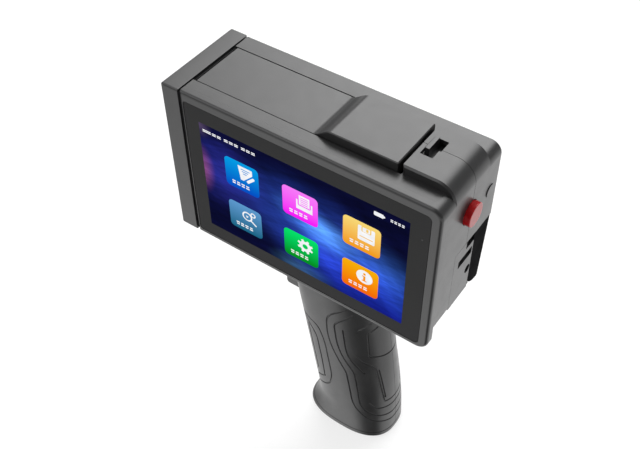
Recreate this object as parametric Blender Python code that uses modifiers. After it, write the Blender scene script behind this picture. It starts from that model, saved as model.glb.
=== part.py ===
"""Hand-held date code inkjet printer: a touch-screen print head on a pistol grip.

Sizes are in millimetres and are turned into metres as each piece is made. The
origin is the middle of the grip's base, where it meets the table. X runs along
the head from the printing face (-X) to the end with the ports (+X), Y runs from
the screen (-Y) to the back cover (+Y), and Z is up.
"""
import math

import bmesh
import bpy
from mathutils import Matrix, Vector

MM = 0.001
GAP = 0.3            # clearance between pieces that touch
WALL = 2.2           # wall of the mouldings
REACH = 5.0          # how far a cutter runs past what it cuts

# Head, seen from the screen side
HEAD_LEFT = -90.5    # outer side of the printing face
HEAD_RIGHT = 51.3    # end with the ports
HEAD_FRONT = -26.4   # front of the screen bezel
HEAD_BACK = 22.8
STRIP_TOP = 206.1    # flat top of the head
DECK_TOP = 210.7     # raised part of the lid, and the hump beside it
BODY_BOTTOM = 130.1
BEZEL_BOTTOM = 118.4
PLATE_THICK = 9.7    # printing face
PLATE_GROOVE = 1.5   # groove between the printing face and the body
BEZEL_THICK = 4.0
SEAM_Y = 0.0         # parting plane of the mouldings
HUMP_ROUND = 9.5
BODY_ROUND = 5.5
END_PLUG_CENTRE = (16.2, 184.6)            # y, z
END_PLUG_RADIUS = 3.2
CABLE_HOLE = (0.8, -6.0, 6.2, 6.0)         # left, front, right, back; between head and grip

BODY_LEFT = HEAD_LEFT + PLATE_THICK + PLATE_GROOVE
BODY_FRONT = HEAD_FRONT + BEZEL_THICK + GAP

# Screen
SCREEN_CENTRE = (-16.3, 161.2)
LCD_MODULE = (114.0, 70.0)
LCD_THICK = 1.8
LCD_BEHIND = 1.2                       # from the front of the bezel
RIBBON = (-10.0, 10.0, 155.1, 156.1)   # left, right, bottom, top
RIBBON_SLOT = (-11.5, 11.5, 153.2, 158.2)
GLASS = (-78.2, 46.7, 121.3, 201.4)    # left, right, bottom, top
GLASS_THICK = 0.85
BEZEL_ROUND = 6.0
BEZEL_DROP = 0.4                       # how far the bezel's top lies under the strip
BEZEL_INSET = 0.7                      # and its end, inside the end of the head

# Cartridge lid
LID_LEFT = -78.5
LID_RIGHT = 24.8
LID_FRONT = -16.2
LID_BACK = 12.8
LID_THICK = 2.0
RAMP_LEFT = -15.5
RAMP_RIGHT = -8.0
LID_END_GAP = 1.8
LID_RECESS = 197.2                     # how deep the opening under the lid goes
HINGE_LUG = (2.4, 5.0)                 # half width, length
HINGE = (-74.6, 202.8)
HINGE_PIN_RADIUS = 1.0
HUMP_LEFT = LID_RIGHT + LID_END_GAP

# Lid latch: a slider under the hump, with its thumb bar in a slot
LATCH_TRAVEL = 3.0
LATCH_BAR = (29.1, 31.2, -2.9, 5.3)    # left, right, front, back
LATCH_SLIDER = (28.8, 36.0, -6.9, 8.0, 205.9)      # left, right, front, back, bottom
LATCH_SLOT_FRONT = -6.3
LATCH_TONGUE = (4.6, 206.0)            # half width, bottom
LATCH_SPRING = (36.4, 41.5, 205.8)     # from, to, height

# Power button
BUTTON_Y = -1.4
BUTTON_Z = 186.3
BUTTON_RADIUS = 5.7
BUTTON_PROUD = 2.9
BUTTON_TRAVEL = 1.0
BUTTON_FLANGE = 1.3                        # how far it stands out, around the cap
BUTTON_SWITCH = (4.5, 3.0)                 # depth, half width

# Ports and battery, at the end of the head
PORT_PANEL = (-9.1, 7.9, 130.4, 166.0)     # front, back, bottom, top
PORT_WALL = 2.4
USB_CENTRE = (1.4, 156.1)
USB_HOLE = (11.4, 4.3)
JACK_CENTRE = (4.9, 145.4)
JACK_RADIUS = 2.4
BATTERY_LEFT = 13.3
BATTERY_RIGHT = 51.0
BATTERY_BOTTOM = 127.1
BATTERY_TOP = 165.8
BATTERY_FRONT = 10.3
BATTERY_FLANGE = 3.7
BATTERY_FLANGE_FRONT = 8.2
BATTERY_BACK = 22.5
BATTERY_LEAN = 3.0
BATTERY_ROUND = 10.0
BAY_WALL = 2.1
BATTERY_CONTACTS = (14.3, 18.7, 143.0, 152.4)      # front, back, bottom, top
BATTERY_LATCH = (44.0, 3.5, 7.6, 162.0, 165.7)     # left, front, back, bottom, top
BATTERY_LATCH_TRAVEL = 2.2

# Cartridge and its bay
BAY = (-76.8, -1.8, -18.1, 14.7, 133.9, 203.7)     # left, right, front, back, bottom, top
BAY_SIDE = 1.6
CARTRIDGE = (-76.6, -4.0, -15.4, 12.0, 136.8, 199.7)
SNOUT = (-89.6, 150.2, 173.2, -9.0, 5.6)           # left, bottom, top, front, back
CONTACTS = (-70.0, -50.0, -8.0, 4.0)               # left, right, front, back
NOZZLE = (-5.5, 2.1, 153.7, 169.7)                 # front, back, bottom, top
NOZZLE_THICK = 0.3

# Boards
MAIN_BOARD = (-60.0, 44.0, 135.2, 198.7)           # left, right, bottom, top
BOARD_THICK = 1.2
CHIPS = ((8.0, 172.7, 14.0, 1.6), (26.0, 174.7, 9.0, 1.2), (12.0, 140.7, 10.0, 1.4))   # x, z, side, height
PORT_BOARD = (34.2, 35.6, -12.0, 7.5, 135.2, 162.7)
BUZZER_CENTRE = (-30.0, 167.7)
BUZZER_RADIUS = 6.0
BUZZER_HEIGHT = 4.4

# Encoder wheel, beside the nozzle window in the printing face
WHEEL_RADIUS = 4.5
WHEEL_PROUD = 0.7
WHEEL_Z = (182.7, 190.7)
WHEEL_Y = -1.7
AXLE_RADIUS = 1.0

# Grip
GRIP_BOTTOM = 2.9                          # the base cap is under it
GRIP_TOP = 129.8
GRIP_HALF_WIDTH = 18.2
GRIP_FRONT_POWER = 2.55    # roundness of the section: 2 is an ellipse, more is squarer
GRIP_REAR_POWERS = (2.55, 1.95)    # at the foot, and from the height below upwards
GRIP_ROUND_FROM = 60.0
GRIP_POINTS = 40
BASE_THICK = 2.6
TRIGGER_PIVOT = (-33.0, 116.7)
TRIGGER_HALF = 6.3
TRIGGER_BOTTOM = 85.2
TRIGGER_PIN_RADIUS = 1.0
TRIGGER_BOSS = (7.2, 11.5)                 # from, to; each side of the middle
TRIGGER_SWITCH = (-22.6, -9.0, 92.7, 103.7)        # left, right, bottom, top
SPRING_SEAT = (-18.7, 113.0)                       # left, top
TRIGGER_SPRING = (-26.2, -19.0, 109.2)             # from, to, height
LEAD_RADIUS = 1.1
GRIP_HEIGHTS = (GRIP_BOTTOM, 6, 10, 14, 19, 30, 45, 60, 75, 90, 108, GRIP_TOP)
HOLLOW_HEIGHTS = (GRIP_BOTTOM - REACH, 10, 19, 40, 60, 80, 100, GRIP_TOP + REACH)

# Screws: pan heads, all facing the back
SCREW_HEAD = 2.5
SCREW_SHANK = 1.2
SCREW_SUNK = 1.3
SHELL_SCREWS = ((-70.0, 139.7), (-70.0, 195.7), (8.0, 195.7), (4.0, 139.7))
GRIP_SCREWS = ((-8.0, 114.7), (-3.0, 62.0), (3.0, 20.0))

parts = bpy.data.collections.new("date_code_printer")
cutters = bpy.data.collections.new("cutters")


def clear_scene():
    """Empty the scene, and link the two collections that the printer uses."""
    for old in list(bpy.data.objects):
        bpy.data.objects.remove(old, do_unlink=True)
    for collection in (parts, cutters):
        bpy.context.scene.collection.children.link(collection)


def material(name, colour, roughness, metallic=0.0):
    """One Principled material."""
    made = bpy.data.materials.new(name)
    made.use_nodes = True
    shader = made.node_tree.nodes["Principled BSDF"]
    shader.inputs["Base Color"].default_value = (*colour, 1.0)
    shader.inputs["Roughness"].default_value = roughness
    shader.inputs["Metallic"].default_value = metallic
    return made


def own_material(obj, like):
    """Give a piece its own copy of one of the base finishes."""
    made = like.copy()
    made.name = obj.name
    obj.data.materials.clear()
    obj.data.materials.append(made)


def place(obj, collection):
    """Move an object out of its current collections and into this one."""
    for other in list(obj.users_collection):
        other.objects.unlink(obj)
    collection.objects.link(obj)


def as_piece(obj, name, finish):
    """Name a finished object, give it its material and list it as a part."""
    obj.name = name
    obj.data.name = name
    place(obj, parts)
    own_material(obj, finish)
    return obj


def hang(obj, x, y, z):
    """Put a moving piece's origin on its joint's axis, and leave the piece where it is."""
    axis_point = Vector((x, y, z)) * MM
    obj.data.transform(Matrix.Translation(-axis_point))
    obj.location = axis_point
    return obj


def box(low, high):
    """A box between two corners, from a primitive cube."""
    low = Vector(low) * MM
    high = Vector(high) * MM
    bpy.ops.mesh.primitive_cube_add(size=1.0, location=(low + high) / 2)
    made = bpy.context.object
    made.scale = high - low
    bpy.ops.object.transform_apply(location=True, rotation=False, scale=True)
    return made


AXIS_TURN = {
    "X": Matrix(((0, 0, 1), (1, 0, 0), (0, 1, 0))),
    "Y": Matrix(((1, 0, 0), (0, 0, -1), (0, 1, 0))),
    "Z": Matrix.Identity(3),
}


def rod(centre, radius, axis, low, high, sides=24):
    """A round bar along X, Y or Z, between two places on that axis."""
    bpy.ops.mesh.primitive_cylinder_add(
        vertices=sides, radius=radius * MM, depth=(high - low) * MM
    )
    made = bpy.context.object
    middle = {"X": ((low + high) / 2, *centre), "Y": (centre[0], (low + high) / 2, centre[1])}
    at = Vector(middle.get(axis, (*centre, (low + high) / 2))) * MM
    made.data.transform(Matrix.Translation(at) @ AXIS_TURN[axis].to_4x4())
    return made


def rounded(corners, steps=5):
    """An outline whose corners (u, v, radius) are turned into arcs."""
    points = []
    count = len(corners)
    for index, (u, v, radius) in enumerate(corners):
        here = Vector((u, v))
        if radius <= 0:
            points.append(here)
            continue
        back = (Vector(corners[index - 1][:2]) - here).normalized()
        ahead = (Vector(corners[(index + 1) % count][:2]) - here).normalized()
        half = back.angle(ahead) / 2
        centre = here + (back + ahead).normalized() * radius / math.sin(half)
        start = here + back * radius / math.tan(half) - centre
        sweep = start.angle_signed(here + ahead * radius / math.tan(half) - centre)
        for step in range(steps + 1):
            points.append(centre + Matrix.Rotation(-sweep * step / steps, 2) @ start)
    return points


def prism(outline, axis, low, high):
    """A flat outline pushed along an axis: (x, z) along Y, (y, z) along X, (x, y) along Z."""
    curve = bpy.data.curves.new("outline", "CURVE")
    curve.dimensions = "2D"
    curve.fill_mode = "BOTH"
    curve.extrude = (high - low) / 2 * MM
    spline = curve.splines.new("POLY")
    spline.points.add(len(outline) - 1)
    for point, (u, v) in zip(spline.points, outline):
        point.co = (u * MM, v * MM, 0, 1)
    spline.use_cyclic_u = True
    guide = bpy.data.objects.new("outline", curve)
    bpy.context.scene.collection.objects.link(guide)
    middle = (low + high) / 2 * MM
    shift = {"X": (middle, 0, 0), "Y": (0, middle, 0), "Z": (0, 0, middle)}[axis]
    mesh = solid_mesh(guide)
    mesh.transform(Matrix.Translation(shift) @ AXIS_TURN[axis].to_4x4())
    made = bpy.data.objects.new("prism", mesh)
    bpy.context.scene.collection.objects.link(made)
    return made


def solid_mesh(guide):
    """The welded mesh of a curve object, which is then removed."""
    graph = bpy.context.evaluated_depsgraph_get()
    mesh = bpy.data.meshes.new_from_object(guide.evaluated_get(graph))
    work = bmesh.new()
    work.from_mesh(mesh)
    bmesh.ops.remove_doubles(work, verts=work.verts, dist=1e-6)
    bmesh.ops.recalc_face_normals(work, faces=work.faces)
    work.to_mesh(mesh)
    work.free()
    bpy.data.objects.remove(guide, do_unlink=True)
    return mesh


def combine(obj, other, operation):
    """Add a Boolean with a helper, which moves to the cutters and stops rendering."""
    modifier = obj.modifiers.new(operation.lower(), "BOOLEAN")
    modifier.operation = operation
    modifier.object = other
    other.name = "cutter"
    other.hide_render = True
    other.display_type = "WIRE"
    place(other, cutters)
    return obj


def cut(obj, *others):
    """Take helpers away from a piece."""
    for other in others:
        combine(obj, other, "DIFFERENCE")
    return obj


def join(obj, *others):
    """Fuse helpers with a piece."""
    for other in others:
        combine(obj, other, "UNION")
    return obj


def soften(obj, width, segments=2, angle=40):
    """Round the edges that are sharper than an angle."""
    modifier = obj.modifiers.new("bevel", "BEVEL")
    modifier.width = width * MM
    modifier.segments = segments
    modifier.limit_method = "ANGLE"
    modifier.angle_limit = math.radians(angle)
    return obj


def smooth(obj, angle=35):
    """Shade a round piece smooth, with its real edges kept sharp."""
    obj.data.shade_smooth()
    obj.data.set_sharp_from_angle(angle=math.radians(angle))
    return obj


def coil(left, right, height, radius, wire, turns):
    """A compression spring along X, in the middle plane."""
    count = turns * 10
    points = []
    for step in range(count + 1):
        angle = 2 * math.pi * turns * step / count
        x = left + (right - left) * step / count
        points.append((x, radius * math.cos(angle), height + radius * math.sin(angle)))
    return tube(points, wire, resolution=0)


def tube(points, radius, resolution=2):
    """A closed round tube along a chain of points."""
    curve = bpy.data.curves.new("tube", "CURVE")
    curve.dimensions = "3D"
    curve.bevel_depth = radius * MM
    curve.bevel_resolution = resolution
    curve.use_fill_caps = True
    spline = curve.splines.new("POLY")
    spline.points.add(len(points) - 1)
    for point, place_at in zip(spline.points, points):
        point.co = (*(Vector(place_at) * MM), 1)
    guide = bpy.data.objects.new("tube", curve)
    bpy.context.scene.collection.objects.link(guide)
    made = bpy.data.objects.new("tube", solid_mesh(guide))
    bpy.context.scene.collection.objects.link(made)
    return made


def smooth_path(knots, steps=6):
    """Points on a Catmull-Rom curve through a few knots."""
    knots = [Vector(knot) for knot in knots]
    padded = [2 * knots[0] - knots[1], *knots, 2 * knots[-1] - knots[-2]]
    points = []
    for before, start, end, after in zip(padded, padded[1:], padded[2:], padded[3:]):
        for step in range(steps):
            t = step / steps
            points.append(
                0.5 * (2 * start + (end - before) * t
                       + (2 * before - 5 * start + 4 * end - after) * t ** 2
                       + (3 * start - before - 3 * end + after) * t ** 3)
            )
    return [*points, knots[-1]]


# Finishes

SHELL = material("shell", (0.045, 0.046, 0.048), 0.42)
BLACK = material("black", (0.012, 0.012, 0.013), 0.5)
GLASS_BLACK = material("glass", (0.02, 0.02, 0.022), 0.12)
DISPLAY = material("display", (0.02, 0.06, 0.35), 0.2)
RED = material("red", (0.45, 0.02, 0.03), 0.3)
STEEL = material("steel", (0.6, 0.6, 0.6), 0.3, 1.0)
GOLD = material("gold", (0.8, 0.55, 0.2), 0.3, 1.0)
BOARD = material("board", (0.02, 0.16, 0.07), 0.4)
RUBBER = material("rubber", (0.02, 0.02, 0.02), 0.8)


# Head mouldings

def head_solid():
    """The whole body of the head as one solid: the box, and the hump on its end."""
    body = prism(
        rounded([
            (BODY_LEFT, BODY_BOTTOM, 1.0),
            (HEAD_RIGHT, BODY_BOTTOM, 2.0),
            (HEAD_RIGHT, STRIP_TOP, BODY_ROUND),
            (BODY_LEFT, STRIP_TOP, 0.6),
        ]), "Y", BODY_FRONT, HEAD_BACK)
    hump = prism(
        rounded([
            (HUMP_LEFT - REACH, STRIP_TOP - 15, 0),
            (HEAD_RIGHT, STRIP_TOP - 15, 0),
            (HEAD_RIGHT, DECK_TOP, HUMP_ROUND),
            (HUMP_LEFT - REACH, DECK_TOP, 0),
        ], steps=7), "Y", LID_FRONT, LID_BACK)
    return join(body, hump)


def head_hollow():
    """The room inside the head."""
    low = prism(
        rounded([
            (BODY_LEFT + WALL, BODY_BOTTOM + WALL, 0),
            (HEAD_RIGHT - WALL, BODY_BOTTOM + WALL, 0),
            (HEAD_RIGHT - WALL, STRIP_TOP - WALL, BODY_ROUND - WALL),
            (BODY_LEFT + WALL, STRIP_TOP - WALL, 0),
        ], steps=3), "Y", BODY_FRONT + WALL, HEAD_BACK - WALL)
    high = prism(
        rounded([
            (HUMP_LEFT + WALL, STRIP_TOP - 12, 0),
            (HEAD_RIGHT - WALL, STRIP_TOP - 12, 0),
            (HEAD_RIGHT - WALL, DECK_TOP - WALL, HUMP_ROUND - WALL),
            (HUMP_LEFT + WALL, DECK_TOP - WALL, 0),
        ]), "Y", LID_FRONT + WALL, LID_BACK - WALL)
    return low, high


def head_openings():
    """What is cut from both mouldings: lid, snout, latch, button, ports and grip openings."""
    left, front, right, back = CABLE_HOLE
    return [
        box((BODY_LEFT - REACH, LID_FRONT - GAP, LID_RECESS), (HUMP_LEFT, LID_BACK + GAP, DECK_TOP + REACH)),
        box((BODY_LEFT - REACH, SNOUT[3] - 1.5, SNOUT[1] - 1.5),
            (BODY_LEFT + REACH, SNOUT[4] + 1.5, SNOUT[2] + 1.5)),
        box((HUMP_LEFT - 1, -LATCH_TONGUE[0] - 0.8, LATCH_TONGUE[1] - 0.4),
            (HUMP_LEFT + WALL + 1, LATCH_TONGUE[0] + 0.8, DECK_TOP - WALL + 0.1)),
        box((LATCH_BAR[0] - GAP, LATCH_SLOT_FRONT, DECK_TOP - WALL - 1),
            (LATCH_BAR[1] + LATCH_TRAVEL + 1, LATCH_BAR[3] + GAP, DECK_TOP + REACH)),
        rod((BUTTON_Y, BUTTON_Z), BUTTON_RADIUS + GAP, "X", HEAD_RIGHT - REACH, HEAD_RIGHT + REACH, 32),
        box((HEAD_RIGHT - PORT_WALL - GAP, PORT_PANEL[0] - GAP, BODY_BOTTOM - REACH),
            (HEAD_RIGHT + REACH, PORT_PANEL[1] + GAP, PORT_PANEL[3] + GAP)),
        box((left, front, BODY_BOTTOM - REACH), (right, back, BODY_BOTTOM + REACH)),
    ]


def front_shell():
    """The screen side of the head, from behind the bezel to the parting plane."""
    shell = cut(head_solid(), *head_hollow(), *head_openings())
    left, right, bottom, top = RIBBON_SLOT
    ribbon_slot = box((left, BODY_FRONT - REACH, bottom), (right, BODY_FRONT + REACH, top))
    behind = box((HEAD_LEFT - REACH, SEAM_Y - GAP / 2, BODY_BOTTOM - REACH),
                 (HEAD_RIGHT + REACH, HEAD_BACK + REACH, DECK_TOP + REACH))
    return as_piece(cut(shell, ribbon_slot, behind), "front_shell", SHELL)


def rear_shell():
    """The back of the head, with the battery bay in its lower corner."""
    shell = cut(head_solid(), *head_hollow())
    walls = box((BATTERY_LEFT - GAP - BAY_WALL, PORT_PANEL[1] + 0.1, BODY_BOTTOM + 0.5),
                (HEAD_RIGHT - 0.5, HEAD_BACK - 0.5, BATTERY_TOP + GAP + BAY_WALL))
    join(shell, walls)
    front, back, bottom, top = BATTERY_CONTACTS
    contacts = box((BATTERY_LEFT - REACH, front - 0.4, bottom - 0.4),
                   (BATTERY_LEFT + 1, back + 0.4, top + 0.4))
    cut(shell, bay_room(BATTERY_FRONT, BATTERY_LEFT))
    cut(shell, bay_room(BATTERY_FLANGE_FRONT, BATTERY_RIGHT - BATTERY_FLANGE))
    cut(shell, contacts, *head_openings())
    plug = rod(END_PLUG_CENTRE, END_PLUG_RADIUS + GAP, "X", HEAD_RIGHT - REACH, HEAD_RIGHT + REACH, 20)
    ahead = box((HEAD_LEFT - REACH, HEAD_FRONT - REACH, BODY_BOTTOM - REACH),
                (HEAD_RIGHT + REACH, SEAM_Y + GAP / 2, DECK_TOP + REACH))
    cut(shell, plug, ahead)
    for x, z in SHELL_SCREWS:
        cut(shell, rod((x, z), SCREW_HEAD + GAP, "Y", HEAD_BACK - SCREW_SUNK, HEAD_BACK + REACH, 16))
        cut(shell, rod((x, z), SCREW_SHANK + GAP, "Y", HEAD_BACK - REACH, HEAD_BACK, 16))
    return as_piece(shell, "rear_shell", SHELL)


def end_plug():
    """The round plug beside the power button."""
    plug = rod(END_PLUG_CENTRE, END_PLUG_RADIUS, "X", HEAD_RIGHT - WALL, HEAD_RIGHT + 0.6, 20)
    return as_piece(smooth(plug), "end_plug", SHELL)


def print_plate():
    """The printing face and its neck, with the nozzle window and the encoder wheel's pocket."""
    right = HEAD_LEFT + PLATE_THICK
    plate = box((HEAD_LEFT, HEAD_FRONT, BEZEL_BOTTOM), (right, HEAD_BACK, STRIP_TOP))
    soften(plate, 1.1, 2)
    neck = box((right - 3, HEAD_FRONT + 3.2, BODY_BOTTOM + 2),
               (BODY_LEFT - GAP, HEAD_BACK - 2, STRIP_TOP - 3.2))
    lip = box((right - 3.1, HEAD_FRONT + 2, BEZEL_BOTTOM + 2),
              (BODY_LEFT - GAP - 0.1, HEAD_FRONT + 3.4, STRIP_TOP - 3.5))
    sweep = box((BODY_LEFT - 0.7, LID_FRONT - GAP, LID_RECESS), (BODY_LEFT, LID_BACK + GAP, STRIP_TOP))
    join(plate, cut(neck, sweep), lip)
    window = box((HEAD_LEFT - REACH, SNOUT[3] - 0.6, SNOUT[1] - 0.6),
                 (right + REACH, SNOUT[4] + 0.6, SNOUT[2] + 0.6))
    relief = box((HEAD_LEFT - REACH, SNOUT[3] - 3, SNOUT[1] - 3),
                 (HEAD_LEFT + 1.2, SNOUT[4] + 3, SNOUT[2] + 3))
    wheel_x = HEAD_LEFT - WHEEL_PROUD + WHEEL_RADIUS
    pocket = box((HEAD_LEFT - REACH, WHEEL_Y - WHEEL_RADIUS - 0.5, WHEEL_Z[0] - 0.5),
                 (wheel_x + WHEEL_RADIUS + 0.5, WHEEL_Y + WHEEL_RADIUS + 0.5, WHEEL_Z[1] + 0.5))
    axle = rod((wheel_x, WHEEL_Y), AXLE_RADIUS + 0.1, "Z", WHEEL_Z[0] - 4, WHEEL_Z[1] + 4, 16)
    return as_piece(cut(plate, window, relief, pocket, axle), "print_plate", SHELL)


def encoder():
    """The wheel that measures how far the printer has moved: hub, tyre and axle."""
    centre = (HEAD_LEFT - WHEEL_PROUD + WHEEL_RADIUS, WHEEL_Y)
    hub = rod(centre, WHEEL_RADIUS - 1.3, "Z", *WHEEL_Z, 24)
    cut(hub, rod(centre, AXLE_RADIUS + 0.1, "Z", WHEEL_Z[0] - 1, WHEEL_Z[1] + 1, 16))
    hang(as_piece(smooth(hub), "encoder_wheel", BLACK), *centre, WHEEL_Z[0])
    tyre = rod(centre, WHEEL_RADIUS, "Z", WHEEL_Z[0] + 0.4, WHEEL_Z[1] - 0.4, 32)
    cut(tyre, rod(centre, WHEEL_RADIUS - 1.0, "Z", WHEEL_Z[0] - 1, WHEEL_Z[1] + 1, 24))
    hang(as_piece(smooth(tyre), "encoder_tyre", RUBBER), *centre, WHEEL_Z[0])
    axle = rod(centre, AXLE_RADIUS, "Z", WHEEL_Z[0] - 3.7, WHEEL_Z[1] + 3.7, 16)
    as_piece(smooth(axle), "encoder_axle", STEEL)


# Screen

def bezel_frame():
    """The tray in front of the head that holds the glass and the display."""
    right = HEAD_RIGHT - BEZEL_INSET
    top = STRIP_TOP - BEZEL_DROP
    tray = prism(
        rounded([
            (BODY_LEFT, BEZEL_BOTTOM, 1.0),
            (right, BEZEL_BOTTOM, BEZEL_ROUND),
            (right, top, BEZEL_ROUND),
            (BODY_LEFT, top, 0.8),
        ]), "Y", HEAD_FRONT, HEAD_FRONT + BEZEL_THICK)
    for_glass = box((GLASS[0] - GAP, HEAD_FRONT - REACH, GLASS[2] - GAP),
                    (GLASS[1] + GAP, HEAD_FRONT + 1.1, GLASS[3] + GAP))
    half = (LCD_MODULE[0] / 2 + GAP, LCD_MODULE[1] / 2 + GAP)
    for_display = box(
        (SCREEN_CENTRE[0] - half[0], HEAD_FRONT, SCREEN_CENTRE[1] - half[1]),
        (SCREEN_CENTRE[0] + half[0], HEAD_FRONT + BEZEL_THICK - 0.6, SCREEN_CENTRE[1] + half[1]))
    left, right, bottom, top = RIBBON_SLOT
    for_ribbon = box((left, HEAD_FRONT, bottom), (right, HEAD_FRONT + BEZEL_THICK + REACH, top))
    return as_piece(cut(tray, for_glass, for_display, for_ribbon), "bezel_frame", SHELL)


def touch_glass():
    """The cover glass, nearly flush with the bezel."""
    left, right, bottom, top = GLASS
    corners = [(left, bottom, 2.0), (right, bottom, 2.0), (right, top, 2.0), (left, top, 1.5)]
    front = HEAD_FRONT + 0.05
    glass = prism(rounded(corners, 3), "Y", front, front + GLASS_THICK)
    return as_piece(glass, "touch_glass", GLASS_BLACK)


def lcd_panel():
    """The display module behind the glass."""
    half = (LCD_MODULE[0] / 2, LCD_MODULE[1] / 2)
    front = HEAD_FRONT + LCD_BEHIND
    panel = box((SCREEN_CENTRE[0] - half[0], front, SCREEN_CENTRE[1] - half[1]),
                (SCREEN_CENTRE[0] + half[0], front + LCD_THICK, SCREEN_CENTRE[1] + half[1]))
    return as_piece(panel, "lcd_panel", DISPLAY)


def lcd_ribbon():
    """The flat cable from the display to the main board."""
    left, right, bottom, top = RIBBON
    front = HEAD_FRONT + LCD_BEHIND + LCD_THICK + GAP
    ribbon = box((left, front, bottom), (right, BODY_FRONT + WALL, top))
    return as_piece(ribbon, "lcd_ribbon", GOLD)


# Electronics

def main_board():
    """The main board behind the screen, with its larger chips."""
    left, right, bottom, top = MAIN_BOARD
    front = BODY_FRONT + WALL + GAP
    back = front + BOARD_THICK
    board = box((left, front, bottom), (right, back, top))
    for x, z, side, height in CHIPS:
        join(board, box((x, back - 0.5, z), (x + side, back + height, z + side)))
    return as_piece(board, "main_board", BOARD)


def port_board():
    """The small board that carries the two ports."""
    left, right, front, back, bottom, top = PORT_BOARD
    return as_piece(box((left, front, bottom), (right, back, top)), "port_board", BOARD)


def usb_port():
    """The receptacle for a memory stick: a thin metal box with a tongue in it."""
    y, z = USB_CENTRE
    wide, tall = USB_HOLE
    left = PORT_BOARD[1] + GAP
    right = HEAD_RIGHT - PORT_WALL - GAP
    half = (wide / 2, tall / 2)
    shell = box((left, y - half[0] - 0.3, z - half[1] - 0.3), (right, y + half[0] + 0.3, z + half[1] + 0.3))
    cut(shell, box((left + 1.1, y - half[0], z - half[1]), (right + REACH, y + half[0], z + half[1])))
    join(shell, box((left + 0.6, y - 4.6, z - 1.0), (right - 2.2, y + 4.6, z + 0.8)))
    return as_piece(shell, "usb_port", STEEL)


def dc_jack():
    """The charging socket: a block with a round bore and a centre pin."""
    y, z = JACK_CENTRE
    left = PORT_BOARD[1] + GAP
    right = HEAD_RIGHT - PORT_WALL - GAP
    block = box((left, y - 3.0, z - 3.6), (right, y + 2.7, z + 3.6))
    cut(block, rod((y, z), JACK_RADIUS, "X", left + 2.1, right + REACH, 20))
    join(block, rod((y, z), 0.8, "X", left + 1.6, right - 0.5, 12))
    return as_piece(block, "dc_jack", BLACK)


def port_panel():
    """The insert in the end wall around the ports, with the battery latch's notch."""
    front, back, bottom, top = PORT_PANEL
    left = HEAD_RIGHT - PORT_WALL
    panel = box((left, front, bottom), (HEAD_RIGHT, back, top))
    y, z = USB_CENTRE
    wide, tall = USB_HOLE
    usb = box((left - REACH, y - wide / 2, z - tall / 2), (HEAD_RIGHT + REACH, y + wide / 2, z + tall / 2))
    jack = rod(JACK_CENTRE, JACK_RADIUS, "X", left - REACH, HEAD_RIGHT + REACH, 20)
    notch_front = BATTERY_LATCH[1] - BATTERY_LATCH_TRAVEL - GAP
    notch_bottom = BATTERY_LATCH[3] - GAP - 0.1
    notch = box((left - REACH, notch_front, notch_bottom), (HEAD_RIGHT + REACH, back + REACH, top + REACH))
    return as_piece(cut(panel, usb, jack, notch), "port_panel", SHELL)


def buzzer():
    """The buzzer that reports each print."""
    back = HEAD_BACK - WALL - 2 * GAP
    can = rod(BUZZER_CENTRE, BUZZER_RADIUS, "Y", back - BUZZER_HEIGHT, back, 24)
    return as_piece(smooth(can), "buzzer", BLACK)


# Battery

def battery_outline(front, inset=0.0):
    """End view of the pack: it hangs a little below the head, and leans in towards its foot."""
    low = BATTERY_BOTTOM + inset
    high = BATTERY_TOP - inset
    back = BATTERY_BACK - inset
    round_front = BATTERY_ROUND - inset - (front - BATTERY_FLANGE_FRONT)
    return rounded([
        (front, low, round_front),
        (back - BATTERY_LEAN, low, 1.2),
        (back, high, 0.5),
        (front, high, 0.5),
    ])


def battery_pack():
    """The removable pack in the lower back corner, with a thumb flange at its end."""
    flange = prism(battery_outline(BATTERY_FLANGE_FRONT), "X", BATTERY_RIGHT - BATTERY_FLANGE, BATTERY_RIGHT)
    body = prism(battery_outline(BATTERY_FRONT, 0.4), "X", BATTERY_LEFT, BATTERY_RIGHT - 1)
    pack = as_piece(join(flange, body), "battery_pack", BLACK)
    return hang(pack, BATTERY_LEFT, BATTERY_FRONT, BATTERY_BOTTOM)


def bay_room(front, left):
    """Room for a stretch of the pack, open at the end, at the back and where the pack hangs down."""
    outline = rounded([
        (front - GAP, BATTERY_BOTTOM - GAP, BATTERY_ROUND - (front - BATTERY_FLANGE_FRONT)),
        (HEAD_BACK + REACH, BATTERY_BOTTOM - GAP, 0),
        (HEAD_BACK + REACH, BATTERY_TOP + GAP, 0),
        (front - GAP, BATTERY_TOP + GAP, 0.5),
    ])
    return prism(outline, "X", left - GAP, HEAD_RIGHT + REACH)


def battery_contacts():
    """The contact block in the end of the battery bay."""
    front, back, bottom, top = BATTERY_CONTACTS
    block = box((BATTERY_LEFT - 5.0, front, bottom), (BATTERY_LEFT - 0.5, back, top))
    return as_piece(block, "battery_contacts", GOLD)


def battery_latch():
    """The thumb slide above the ports that holds the pack in."""
    left, front, back, bottom, top = BATTERY_LATCH
    tab = box((left, front, bottom), (HEAD_RIGHT - 0.9, back, top))
    join(tab, box((HEAD_RIGHT - 2.0, front + 1.3, bottom + 0.2), (HEAD_RIGHT - 0.3, front + 2.1, top - 0.2)))
    return hang(as_piece(tab, "battery_latch", BLACK), HEAD_RIGHT, front, bottom)


# Cartridge and lid

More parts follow.
